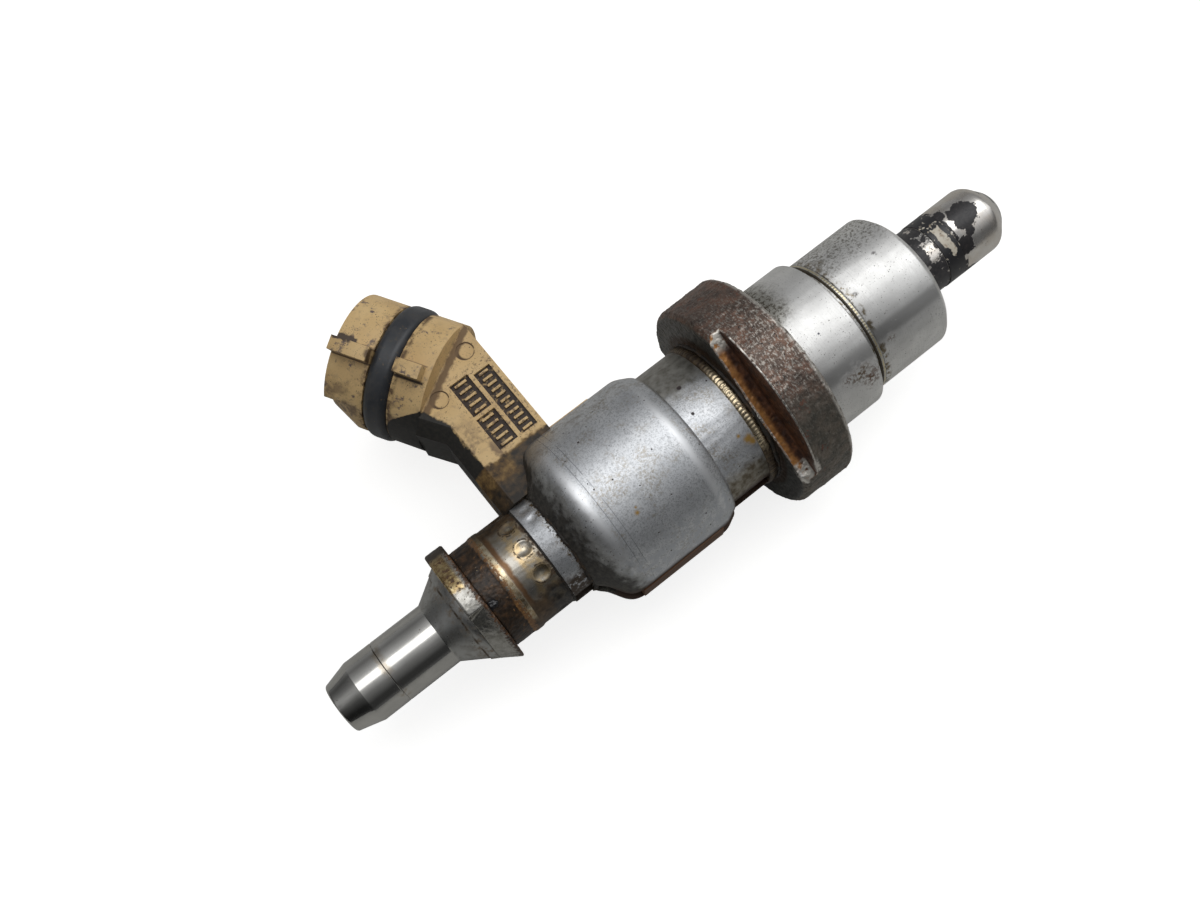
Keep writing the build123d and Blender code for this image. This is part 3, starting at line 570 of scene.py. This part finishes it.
def sooty_nozzle():
    """Polished nozzle with flaking black carbon over the shank and in ragged patches."""
    it = turned_metal("nozzle_steel", (0.84, 0.81, 0.765), 0.22, 0.0004)
    it.coat(it.patches(0.42, 0.66, 0.45, 3), (0.7, 0.65, 0.585), 0.26)
    it.coat(it.patches(0.55, 0.75, 1, 5, 0.7, it.turned(7, 2)), (0.44, 0.4, 0.36), 0.3)
    ragged = it.noise(1.1, 6, 0.62)
    fine = it.noise(3, 5, 0.7)
    shank = it.step(it.x, 23.05, 22.85) * it.step(ragged, 0.38, 0.41)
    torn = it.band(it.x, 21.5, 22.8, 0.08, 1.4, 0.7) * it.band(it.turn, -30, 6, 2, 1.1, 26)
    torn *= it.step(fine, 0.4, 0.46)
    shank = shank * (1 - torn)
    lip = it.band(it.x, 25.2, 25.7, 0.06, 2, 0.2) * it.step(ragged, 0.42, 0.45)
    spots = ((27.95, 3, 1.75, 0.03, 0.55, 1.3), (27, -9, 0.8, 0.03, 0.7, 1.9),
        (27.3, -25, 0.6, 0.04, 0.8, 1.9), (25.8, 26, 0.85, 0.03, 0.7, 1.6),
        (25.9, -40, 1.2, 0.03, 0.7, 1.4), (26, 110, 1.7, 0.03, 0.6, 1.1), (27.2, 175, 1.5, 0.03, 0.6, 1.2),
        (25.8, -110, 1.9, 0.03, 0.6, 1))
    patches = [it.blot(around(x, SHANK_RADIUS, turn), *shape) for x, turn, *shape in spots]
    carbon = it.any_of(shank, lip, *patches)
    it.coat(carbon, it.shades(fine, (0.35, *SOOT), (0.75, 0.045, 0.04, 0.04)), 0.42, 0, 0.02)
    ring = it.band(it.x, 32.35, 32.6, 0.06) * it.patches(0.4, 0.5, 0.6)
    it.coat(ring, (0.12, 0.12, 0.13), 0.4)
    it.coat(it.blot(around(31.7, 3.6, 22), 0.3, 0.1, 0.6, 2.5), (0.05, 0.05, 0.055), 0.4, 0.2)
    it.coat(it.speckle(2.2, 0.15, 0.5), (0.12, 0.1, 0.09), 0.45, 0.6)
    return it.done()


def sooty_seal():
    """Cream seal, black with soot at both ends and in streaks along it."""
    it = Finish("seal_plastic", (0.6, 0.55, 0.45), 0.28, 0, Specular_IOR_Level=0.6)
    it.coat(it.patches(0.5, 0.7, 2, 4), (0.36, 0.28, 0.19), 0.38)
    ragged = it.noise(1.5, 5, 0.65)
    ends = it.any_of(it.step(it.x, 23.75, 23.45, 1.6, 0.3), it.band(it.x, 24.75, 25.3, 0.08, 1.6, 0.3))
    side = it.step(abs(it.turn + 10), 16, 40)
    black = it.step(it.any_of(ends, side) * 0.22 + ragged, 0.58, 0.61)
    it.coat(black, SOOT, 0.4, None, 0.015)
    return it.done()


def weld_metal(name, color, lit_from, lit_to):
    """A straw-coloured bead, lit between two turns, with dark brown painted shade on the sides beyond them.
    """
    it = Finish(name, color, 0.25, 1)
    it.coat(it.patches(0.46, 0.7, 1.6, 4), tuple(c * 0.66 for c in color), 0.34)
    it.coat(it.patches(0.53, 0.62, 2, 5, 0.7), (0.09, 0.058, 0.032), 0.5, 0.4)
    # Painted shade: dark brown outside the lit turns.
    turn = it.wander(it.turn, 0.9, 12)
    dark = it.any_of(it.step(turn, lit_to, lit_to + 16), it.step(turn, lit_from, lit_from - 10))
    it.coat(dark, it.mottle((1.8, 4), (0.4, 0.04, 0.027, 0.017), (0.68, 0.13, 0.095, 0.055)), 0.45, 0.6)
    it.grain(4, 0.01)
    return it.done()


def seam_metal():
    """The thin seam before the small land: a dark step, then a narrow creamy line."""
    it = Finish("seam_metal", (0.5, 0.49, 0.46), 0.38, 1)
    middle = (bead_low.x + bead_high.x) / 2
    cream = it.band(it.x, middle - 0.02, middle + 0.16, 0.04, 1.8, 0.06) * it.patches(0.34, 0.5, 1.4, 4)
    it.coat(cream, (0.62, 0.54, 0.34), 0.3)
    it.coat(it.step(it.wander(it.x, 2, 0.08), middle - 0.06, middle - 0.14), (0.055, 0.045, 0.03), 0.5, 0.5)
    it.coat(it.patches(0.58, 0.66, 2.2, 4, 0.65), (0.1, 0.08, 0.05), 0.5, 0.5)
    return it.done()


# ---- plastic, rubber and the rest
def tan_resin():
    """Moulded tan resin, soiled: black grime with painted shade on the inlet side, brown dirt at its foot,
    and painted shade by the keys and the ejector marks.
    """
    it = Finish("tan_resin", (0.66, 0.46, 0.216), 0.5, 0, Specular_IOR_Level=0.4)
    it.color = it.mottle((0.22, 4), (0.3, 0.57, 0.385, 0.172), (0.55, 0.66, 0.46, 0.216),
        (0.8, 0.71, 0.515, 0.258))
    it.coat(it.patches(0.52, 0.8, 1.4, 5, 0.6), (0.44, 0.305, 0.165))
    it.coat(it.patches(0.58, 0.72, 3.6, 4, 0.7), (0.42, 0.29, 0.155))
    it.grain(2.2, 0.012)
    it.grain(9, 0.005)
    # Head coordinates: distance along its axis, and across it towards the inlet.
    offset = it.vector("SUBTRACT", it.place, tuple(ring_middle))
    along = it.vector("DOT_PRODUCT", offset, tuple(head_dir))
    across = it.vector("DOT_PRODUCT", offset, tuple(across_head))
    # Small dark pits, purple-grey smudges, and dust towards the inlet.
    it.coat(it.speckle(2.6, 0.2, 0.55) * it.patches(0.42, 0.6, 0.4), (0.09, 0.055, 0.03), 0.6)
    it.coat(it.speckle(5, 0.24, 0.55) * it.patches(0.45, 0.6, 0.5), (0.12, 0.08, 0.05), 0.6)
    smudge = it.patches(0.56, 0.66, 0.75, 6, 0.66) * it.step(along, -6.5, -4)
    it.coat(smudge, (0.15, 0.11, 0.095), 0.5)
    dusty = it.patches(0.48, 0.66, 0.5, 4) * it.step(across, 3, 7)
    it.coat(dusty, (0.24, 0.16, 0.09), 0.55)
    # Soil beside the sealing ring.
    by_ring = it.band(along, -2.1, 1.9, 0.25) * it.patches(0.4, 0.6, 1, 4)
    it.coat(by_ring, (0.13, 0.08, 0.04), 0.55)
    # Painted shade in the corners along the keying rib, a thin painted shadow line beyond it, and a dark
    # patch on its far side by the front key.
    key_turn = math.radians(KEY_TURN)
    key_side = across_head * math.sin(key_turn) - Vector((0, 0, math.cos(key_turn)))
    beside_key = it.vector("DOT_PRODUCT", offset, tuple(key_side))
    corner = it.band(beside_key, 0.84, 1.16, 0.1) * it.band(along, -5.1, -1.5, 0.15) * it.step(it.z, 2, 4)
    it.coat(corner, (0.045, 0.028, 0.016), 0.6)
    front_key_shade = it.band(beside_key, 0.82, 0.98, 0.06) * it.band(along, 1.4, 6.3, 0.15)
    front_key_shade *= it.step(it.z, 2, 4)
    it.coat(front_key_shade, (0.17, 0.11, 0.06), 0.6)
    beside_keys = it.any_of(it.band(along, -4.9, -1.6, 0.12), it.band(along, 1.5, 6.2, 0.12))
    key_shadow_line = it.band(beside_key, -1.04, -0.86, 0.07) * beside_keys * it.step(it.z, 2, 4)
    key_shadow_line *= it.patches(0.3, 0.5, 1.1, 3)
    it.coat(key_shadow_line, (0.24, 0.155, 0.08), 0.6)
    dark_patch_by_key = it.band(beside_key, -1.5, -0.62, 0.1, 1.2, 0.5) * it.band(along, 3.9, 6.2, 0.15, 1, 0.6)
    dark_patch_by_key *= it.step(it.z, 2, 4)
    it.coat(dark_patch_by_key, (0.085, 0.06, 0.042), 0.5)
    # Blank label recesses, packed with dirt, and their soiled borders.
    depth = abs(it.z)
    recess = it.band(depth, 4.56, 4.74, 0.04) * it.band(it.x, -30.4, -25, 0.05)
    recess *= it.band(it.y, 10.6, 20.5, 0.05)
    it.coat(recess * it.patches(0.22, 0.45, 1.5, 4), (0.04, 0.026, 0.019), 0.55)
    on_face = it.band(depth, 4.8, 5.06, 0.04)
    by_panel = on_face * it.band(it.x, -30.7, -24.6, 0.3) * it.band(it.y, 10.2, 20.9, 0.3)
    by_panel *= it.patches(0.52, 0.64, 2, 4, 0.65)
    it.coat(by_panel, (0.22, 0.145, 0.08), 0.55)
    # Ejector marks: a thin dark outline, and a crescent of painted shade on one side of each.
    for mark_x, mark_y in ((-26.34, 22.76), (-31.99, 19.79)):
        flat = it.combine(it.x - mark_x, it.y - mark_y, 0)
        away = it.vector("LENGTH", flat)
        from_unshaded_centre = it.vector("DISTANCE", flat, (0.26, -0.1, 0))
        crescent_shade = it.step(away, 1.1, 1.02) * it.step(from_unshaded_centre, 0.86, 1.08)
        outline = it.band(away, 1, 1.13, 0.04) * it.patches(0.34, 0.5, 1.6, 3)
        it.coat(on_face * it.any_of(crescent_shade, outline), (0.1, 0.062, 0.032), 0.6)
    # Brown dirt and painted shade where the head meets the arm.
    dirt_and_shade_under_head = it.band(along, -6.5, -5.6, 0.2, 1.4, 0.4) * it.step(depth, 5.3, 4.95)
    it.coat(dirt_and_shade_under_head, (0.17, 0.105, 0.05), 0.6)
    # Black grime with painted shade over the arm's inlet side and under the head.
    lean = it.step(it.y, 16, 22.5) * 2.3
    edge = it.wander(it.x, 0.9, 0.55) + lean
    drop_back = it.step(across, 4.8, 7.4) * 4.2
    below_head = it.step(it.wander(along, 1.2, 0.35) - drop_back, -5.6, -5.9)
    grime_and_shade = it.step(edge, -32.65, -33) * below_head
    it.coat(grime_and_shade, it.mottle((2.4, 5), (0.3, 0.01, 0.01, 0.009), (0.75, 0.03, 0.026, 0.02)),
        0.55, None, 0.04)
    # Brown oily dirt at the arm's foot, and over the ribs in the yoke's slots.
    foot = it.step(it.y, 10.35, 9.9, 0.7, 0.9)
    it.coat(foot, it.mottle((0.9, 5, 0.65), (0.36, 0.045, 0.026, 0.011), (0.5, 0.13, 0.075, 0.025),
        (0.66, 0.25, 0.155, 0.052)), 0.62, None, 0.03)
    lowest = it.step(it.y, 8, 7, 1.1, 0.9)
    behind = it.step(it.y, 10, 9.7) * it.step(it.x, -30.4, -29.4, 1, 0.8)
    soaked = it.any_of(lowest, behind)
    it.coat(foot * soaked, it.mottle((1.3, 4), (0.4, 0.018, 0.013, 0.008), (0.7, 0.09, 0.055, 0.024)), 0.55)
    it.coat(it.step(it.y, -6, -8), (0.12, 0.055, 0.022), 0.6)
    return it.done()


def black_rubber():
    """Sealing ring: dark blue-grey rubber, dusty, with tan crumbs."""
    it = Finish("ring_rubber", (0.028, 0.031, 0.036), 0.36, 0, Specular_IOR_Level=0.5)
    it.coat(it.patches(0.45, 0.7, 0.5, 5, 0.65), (0.045, 0.045, 0.046), 0.52)
    it.coat(it.patches(0.56, 0.7, 2.2, 4, 0.65), (0.06, 0.052, 0.042), 0.6)
    it.coat(it.speckle(2.2, 0.15, 0.45), (0.2, 0.14, 0.08), 0.7)
    it.grain(3, 0.012)
    return it.done()


def inner_metal(name, color, rough):
    it = turned_metal(name, color, rough, 0.0015)
    it.coat(it.patches(0.55, 0.8, 1.2, 4), tuple(c * 0.6 for c in color), rough + 0.15)
    return it.done()


def copper_turns():
    it = Finish("winding", (0.62, 0.27, 0.12), 0.3, 1)
    ridges = abs(it.math("SINE", it.x * 14))
    it.coat(it.step(ridges, 0.5, 0), (0.2, 0.08, 0.03), 0.5)
    it.raise_by(ridges * 0.04)
    return it.done()


def dark_bobbin():
    it = Finish("bobbin_plastic", (0.035, 0.035, 0.037), 0.5)
    it.coat(it.patches(0.5, 0.7, 0.9, 4), (0.06, 0.058, 0.055), 0.6)
    it.grain(5, 0.01)
    return it.done()


def tinned_terminal():
    it = Finish("terminal_tin", (0.62, 0.58, 0.5), 0.28, 1)
    it.coat(it.patches(0.5, 0.7, 1.8, 4), (0.5, 0.38, 0.2), 0.4)
    it.grain(6, 0.004)
    return it.done()


def woven_mesh():
    it = Finish("filter_mesh", (0.5, 0.5, 0.47), 0.35, 1)
    weave = it.math("SINE", it.x * 60) * it.math("SINE", it.y * 60)
    it.coat(it.step(weave, 0, 0.4), (0.08, 0.08, 0.075), 0.6)
    it.raise_by(weave * 0.02)
    return it.done()


# ---- mesh builders
def to_mesh(shape, name):
    """Ends a bmesh and gives it as a mesh."""
    mesh = bpy.data.meshes.new(name)
    shape.to_mesh(mesh)
    shape.free()
    return mesh


def add_object(name, data):
    made = bpy.data.objects.new(name, data)
    bpy.context.scene.collection.objects.link(made)
    return made


def round_corners(piece, width, segments):
    bevel = piece.modifiers.new("corners", "BEVEL")
    bevel.width = width * MM
    bevel.segments = segments
    bevel.harden_normals = True
    return bevel


def clean_mesh(node):
    """A copy of a CAD node's mesh with its split corners joined."""
    shape = bmesh.new()
    shape.from_mesh(nodes[node].data)
    bmesh.ops.remove_doubles(shape, verts=shape.verts, dist=1e-7)
    return to_mesh(shape, node + "_copy")


def add_piece(name, mesh, material, body, replaced=()):
    """Puts a mesh in the scene as a piece that rides on a body."""
    mesh.name = name
    mesh.materials.clear()
    mesh.materials.append(material)
    mesh.polygons.foreach_set("use_smooth", [True] * len(mesh.polygons))
    piece = add_object(name, mesh)
    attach(piece, body)
    if replaced:
        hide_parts(*replaced)
    return piece


def softened(node, name, material, width, segments=2, corner=32):
    """A CAD node with its corners, sharper than an angle in degrees, slightly rounded."""
    piece = add_piece(name, clean_mesh(node), material, HOUSING, (node,))
    bevel = round_corners(piece, width, segments)
    bevel.limit_method = "ANGLE"
    bevel.angle_limit = math.radians(corner)
    bevel.use_clamp_overlap = True
    return piece


def crusted(node, name, material, voxel, relief, smoothing=4):
    """A CAD node as a fine even mesh, smoothed and then roughened by relief(point, normal)."""
    mesh = clean_mesh(node)
    mesh.transform(Matrix.Scale(1 / MM, 4))
    source = add_object(name + "_source", mesh)
    remesh = source.modifiers.new("even", "REMESH")
    remesh.mode = "VOXEL"
    remesh.voxel_size = voxel
    smooth = source.modifiers.new("smooth", "SMOOTH")
    smooth.iterations = smoothing
    fine = bpy.data.meshes.new_from_object(source.evaluated_get(bpy.context.evaluated_depsgraph_get()))
    bpy.data.objects.remove(source)
    bpy.data.meshes.remove(mesh)
    moves = [vertex.normal * relief(vertex.co, vertex.normal) for vertex in fine.vertices]
    for vertex, move in zip(fine.vertices, moves):
        vertex.co = (vertex.co + move) * MM
    return add_piece(name, fine, material, HOUSING, (node,))


def grid_mesh(name, rows):
    """Quads between rows of points, in millimetres, closed both ways."""
    shape = bmesh.new()
    made = [[shape.verts.new(point * MM) for point in row] for row in rows]
    for i, row in enumerate(made):
        following = made[(i + 1) % len(made)]
        for j in range(len(row)):
            beside = (j + 1) % len(row)
            shape.faces.new((row[j], following[j], following[beside], row[beside]))
    bmesh.ops.recalc_face_normals(shape, faces=shape.faces)
    return to_mesh(shape, name)


def weld_bead(name, node, material, ripples, ripple_height, crown, base):
    """A rippled bead about the axis, over the node's stretch."""
    low, high = span(node)
    middle = (low.x + high.x) / 2
    half = (high.x - low.x) / 2
    steps = ripples * 8
    across = 14
    root_depth = 0.6
    rows = []
    for i in range(steps):
        turn = 360 * i / steps
        angle = math.radians(turn)
        uneven = 0.35 * noise.noise(Vector((math.cos(angle) * 5, math.sin(angle) * 5, 0)))
        row = []
        for j in range(across + 1):
            side = -1 + 2 * j / across
            phase = ripples * angle + 2.4 * side * side + uneven * 3
            arch = math.sqrt(max(0.0, 1 - side * side))
            wave = ripple_height * (0.5 + 0.5 * math.cos(phase)) ** 0.6 * arch
            row.append(around(middle + side * half, base + crown * arch * (1 + uneven * 0.5) + wave, turn))
        row.append(around(high.x, base - root_depth, turn))
        row.append(around(low.x, base - root_depth, turn))
        rows.append(row)
    return add_piece(name, grid_mesh(name, rows), material, HOUSING, (node,))


def grime_ring(name, material, x, radius, thick, lumps):
    """A lumpy ring of dirt packed in a groove about the axis."""
    steps = 360
    section = 12
    rows = []
    for i in range(steps):
        turn = 360 * i / steps
        row = []
        for j in range(section):
            angle = 2 * math.pi * j / section
            at = Vector((math.cos(math.radians(turn)), math.sin(math.radians(turn)), 0.3 * math.cos(angle)))
            size = thick * (0.75 + lumps * noise.fractal(at * 6, 0.5, 2.3, 5))
            row.append(around(x + size * math.cos(angle), radius + 0.6 * size * math.sin(angle), turn))
        rows.append(row)
    return add_piece(name, grid_mesh(name, rows), material, HOUSING)


def drop(name, point, normal, material, size, flatness, seed):
    """A smooth lump stuck on a surface."""
    shape = bmesh.new()
    bmesh.ops.create_icosphere(shape, subdivisions=4, radius=1.0)
    tilt = normal.to_track_quat("Z", "Y")
    shift = Vector((seed, seed * 0.7, 0))
    for vertex in shape.verts:
        co = vertex.co.copy()
        co *= 1 + 0.35 * noise.fractal(co * 1.3 + shift, 0.7, 2.0, 3)
        co = Vector((co.x * size, co.y * size * 0.75, co.z * size * flatness))
        vertex.co = (point + tilt @ co) * MM
    return add_piece(name, to_mesh(shape, name), material, HOUSING)


def bars(name, boxes, material, bevel_width=0.06):
    """Small bevelled blocks, each given by its lowest and highest corner in millimetres."""
    shape = bmesh.new()
    for low, high in boxes:
        size = (Vector(high) - Vector(low)) * MM
        middle = (Vector(high) + Vector(low)) / 2 * MM
        bmesh.ops.create_cube(shape, size=1.0,
            matrix=Matrix.Translation(middle) @ Matrix.Diagonal((*size, 1)))
    piece = add_piece(name, to_mesh(shape, name), material, HOUSING)
    round_corners(piece, bevel_width, 2)
    return piece


# ---- build pieces
forging = rusty_forging()
resin = tan_resin()
plate = plated_yoke()
body_bead = weld_metal("body_bead", (0.6, 0.5, 0.34), lit_from=-46.0, lit_to=2.0)


def scale_relief(depth, pitch):
    """Crust: broad lumps and fine grains, a fraction of a millimetre deep."""
    def relief(point, normal):
        broad = noise.fractal(point / pitch, 0.8, 2.1, 3)
        fine = noise.fractal(point * 2.6 / pitch + Vector((7, 3, 1)), 0.7, 2.2, 4)
        return depth * (0.45 * broad + 0.55 * fine) - 0.3 * depth
    return relief


def sleeve_relief(point, normal):
    """Crust beside the collar only; the rest of the sleeve stays smooth."""
    crust = min(1.0, max(0.12, (-38.9 - point.x) / 0.4))
    return scale_relief(0.055, 0.9)(point, normal) * crust


inlet = softened("inlet_tube", "inlet_skin", polished_inlet(), width=0.05, corner=10.5)
even = inlet.modifiers.new("even_gloss", "WEIGHTED_NORMAL")
even.mode = "FACE_AREA_WITH_ANGLE"
even.keep_sharp = True
crusted("locating_collar", "collar_skin", stained_collar(), voxel=0.11,
        relief=scale_relief(0.03, 1.0), smoothing=3)
crusted("core_sleeve", "sleeve_skin", stained_sleeve(), voxel=0.093, relief=sleeve_relief,
        smoothing=2)
softened("yoke_front", "yoke_front_skin", plate, width=0.1)
softened("yoke_back", "yoke_back_skin", plate, width=0.1)
weld_bead("body_weld_bead", "body_weld", body_bead, ripples=124, ripple_height=0.055, crown=0.14, base=9.13)
crusted("clamp_flange", "flange_skin", forging, voxel=0.16, relief=scale_relief(0.1, 0.9))
softened("nozzle_holder", "holder_skin", holder_land(), width=0.1)
weld_bead("retainer_weld_bead", "retainer_weld", seam_metal(), ripples=150, ripple_height=0.02, crown=0.09,
          base=8.6)
softened("nozzle_retainer", "retainer_skin", retainer_land(), width=0.12)
softened("nozzle_body", "nozzle_skin", sooty_nozzle(), width=0.05)
softened("connector_body", "connector_skin", resin, width=0.16, segments=3)

ring_material = black_rubber()
tar = Finish("tar", (0.01, 0.01, 0.011), 0.14)
tar.grain(1.5, 0.05)
tar = tar.done()
packed_dirt = Finish("packed_dirt", (0.022, 0.018, 0.014), 0.62)
packed_dirt.coat(packed_dirt.patches(0.5, 0.66, 1.2, 5.0, 0.65), (0.075, 0.045, 0.022), 0.7)
packed_dirt.grain(4.0, 0.05)
packed_dirt = packed_dirt.done()

tar_place = around(-41.06, 6.22, -24.8)
tar_normal = around(0, 1, -24.8)
drop("tar_drop", tar_place, tar_normal, tar, size=0.62, flatness=0.45, seed=3.0)
grime_ring("neck_dirt", packed_dirt, x=-31.0, radius=6.62, thick=0.42, lumps=0.5)
grime_ring("sleeve_dirt", packed_dirt, x=-33.62, radius=6.2, thick=0.2, lumps=0.6)
grime_ring("weld_dirt", packed_dirt, x=-7.35, radius=9.25, thick=0.3, lumps=0.5)

# Plain raised ticks in the label recesses, in place of moulded characters.
PANEL_DEPTH = 0.35
TICK_INSET = 0.45
TICK_HALF_WIDTH = 0.16
tick_root = ARM_FACE - PANEL_DEPTH - 0.05
tick_top = ARM_FACE - 0.08
recesses = ((-30.25, -27.8, 10.75, 15.2, 5), (-30.25, -27.8, 15.65, 20.35, 5),
    (-27.3, -25.15, 10.75, 19.8, 11))
ticks = []
for side in (1, -1):
    z_low, z_high = sorted((side * tick_root, side * tick_top))
    for x_low, x_high, y_low, y_high, count in recesses:
        pitch = (y_high - y_low) / count
        for number in range(count):
            middle = y_low + (number + 0.5) * pitch
            ticks.append(((x_low + TICK_INSET, middle - TICK_HALF_WIDTH, z_low),
                          (x_high - TICK_INSET, middle + TICK_HALF_WIDTH, z_high)))
bars("label_ticks", ticks, resin)

# CAD nodes that keep their own shape.
core_metal = inner_metal("core_metal", (0.5, 0.5, 0.49), 0.3)
bright_metal = inner_metal("bright_metal", (0.58, 0.57, 0.55), 0.16)
finishes = {
    "connector_o_ring": ring_material,
    "tip_seal": sooty_seal(),
    "orifice_plate": inner_metal("orifice_steel", (0.45, 0.42, 0.38), 0.25),
    "filter_frame": inner_metal("filter_brass", (0.6, 0.42, 0.17), 0.3),
    "inlet_filter": woven_mesh(),
    "return_spring": inner_metal("spring_wire", (0.42, 0.42, 0.43), 0.28),
    "coil_bobbin": dark_bobbin(),
    "coil_winding": copper_turns(),
    "terminal_pins": tinned_terminal(),
    "terminal_leads": tinned_terminal(),
    "needle": bright_metal,
    "valve_ball": bright_metal,
}
for node in ("fixed_core", "adjusting_tube", "nonmagnetic_ring", "magnetic_sleeve", "armature", "lift_shim",
             "swirl_guide"):
    finishes[node] = core_metal
for node, material in finishes.items():
    nodes[node].data.materials.clear()
    nodes[node].data.materials.append(material)

# ---- floor and light
FLOOR_GAP = 0.05  # millimetres
FLOOR_RADIUS = 1.6  # metres
floor_z = cad_low.z - FLOOR_GAP * MM


def white_floor():
    """A round sheet of paper, a little brighter to the camera than its light makes it."""
    shape = bmesh.new()
    bmesh.ops.create_circle(shape, cap_ends=True, segments=64, radius=FLOOR_RADIUS)
    floor = add_object("floor", to_mesh(shape, "floor"))
    floor.location = (0, 0, floor_z)
    light = {"Specular_IOR_Level": 0.1, "Emission_Color": (1, 1, 1, 1)}
    paper = Finish("floor_paper", (0.5, 0.495, 0.475), 0.9, **light)
    glow = paper.output(paper.add("LightPath"), "Is Camera Ray") * 0.8
    paper.link(glow, paper.shader.inputs["Emission Strength"])
    floor.data.materials.append(paper.done())


# Brightness of the reflected studio by angle about the injector's axis, in degrees.
STUDIO_TINT = (0.985, 0.995, 1.015)
BY_INLET = ((-94, 0.13), (-78, 0.04), (-60, 0.04), (-45, 0.12), (-28, 0.22), (-12, 0.5), (2, 1.0),
    (18, 1.0), (34, 0.52), (50, 0.3), (68, 0.17), (92, 0.3))
BY_NOZZLE = ((-94, 0.16), (-78, 0.09), (-60, 0.12), (-45, 0.32), (-30, 0.62), (-14, 0.97), (-4, 1.0),
    (12, 1.0), (30, 0.5), (48, 0.28), (68, 0.18), (92, 0.3))


def studio_world():
    """White to the camera.  In reflections it is set by the angle about the injector's axis:
    bright overhead, fading to both sides, dark near the horizon and towards the inlet."""
    world = bpy.data.worlds.new("studio")
    bpy.context.scene.world = world
    world.use_nodes = True
    world.node_tree.nodes.clear()
    sky = Nodes(world.node_tree)
    x, y, z = sky.split(sky.output(sky.add("TexCoord"), "Generated"))
    angle = sky.ranged(sky.math("ARCTAN2", y, z), -math.pi, math.pi, kind="LINEAR")
    levels = []
    for stops in (BY_INLET, BY_NOZZLE):
        levels.append(sky.shades(angle, *[((degrees + 180) / 360, *[level * part for part in STUDIO_TINT])
                                          for degrees, level in stops]))
    color = sky.blend(sky.ranged(x, 0.0, 0.3), *levels)
    strength = sky.ranged(x, -0.6, -0.15, 0.4, 1.1)
    seen = sky.output(sky.add("LightPath"), "Is Camera Ray")
    light = sky.output(sky.add("Background", {"Color": color, "Strength": strength}))
    pale = sky.output(sky.add("Background", {"Color": (1, 1, 1)}))
    mixed = sky.output(sky.add("MixShader", {0: seen, 1: light, 2: pale}))
    sky.add("OutputWorld", {0: mixed})


def facing(right, up, back):
    """The turn of a lamp or camera with its right side, top and back along these directions."""
    return Matrix((right, up, back)).transposed().to_quaternion()


def softbox(name, place, target, width, height, power):
    """A rectangular lamp at a place, in millimetres, aimed at a target, long side along X."""
    lamp = bpy.data.lights.new(name, "AREA")
    lamp.shape = "RECTANGLE"
    lamp.size = width * MM
    lamp.size_y = height * MM
    lamp.energy = power
    holder = add_object(name, lamp)
    holder.location = Vector(place) * MM
    outward = (Vector(place) - Vector(target)).normalized()
    long_side = (Vector((1, 0, 0)) - outward * outward.x).normalized()
    holder.rotation_mode = "QUATERNION"
    holder.rotation_quaternion = facing(long_side, outward.cross(long_side), outward)


white_floor()
studio_world()
softbox("overhead", place=(95, 46, 300), target=(20, 0, 0), width=480, height=165, power=0.33)

# ---- camera
CAMERA_PLACE = Vector((-42.19, -35.22, 127.88))
CAMERA_TARGET = Vector((-21.04, 5.43, 0.0))
CAMERA_ROLL = 40.26
FOCAL_LENGTH = 36.27
SENSOR_WIDTH = 36

camera_data = bpy.data.cameras.new("camera")
camera_data.lens = FOCAL_LENGTH
camera_data.sensor_width = SENSOR_WIDTH
camera_data.clip_start = 0.01
camera_data.clip_end = 10
camera = add_object("camera", camera_data)
back = (CAMERA_PLACE - CAMERA_TARGET).normalized()
upright = (Vector((0, 1, 0)) - back * back.y).normalized()
level = facing(upright.cross(back), upright, back)
camera.rotation_mode = "QUATERNION"
camera.rotation_quaternion = Quaternion(back, math.radians(-CAMERA_ROLL)) @ level
camera.location = CAMERA_PLACE * MM
bpy.context.scene.camera = camera
bpy.context.scene.view_settings.view_transform = "Standard"
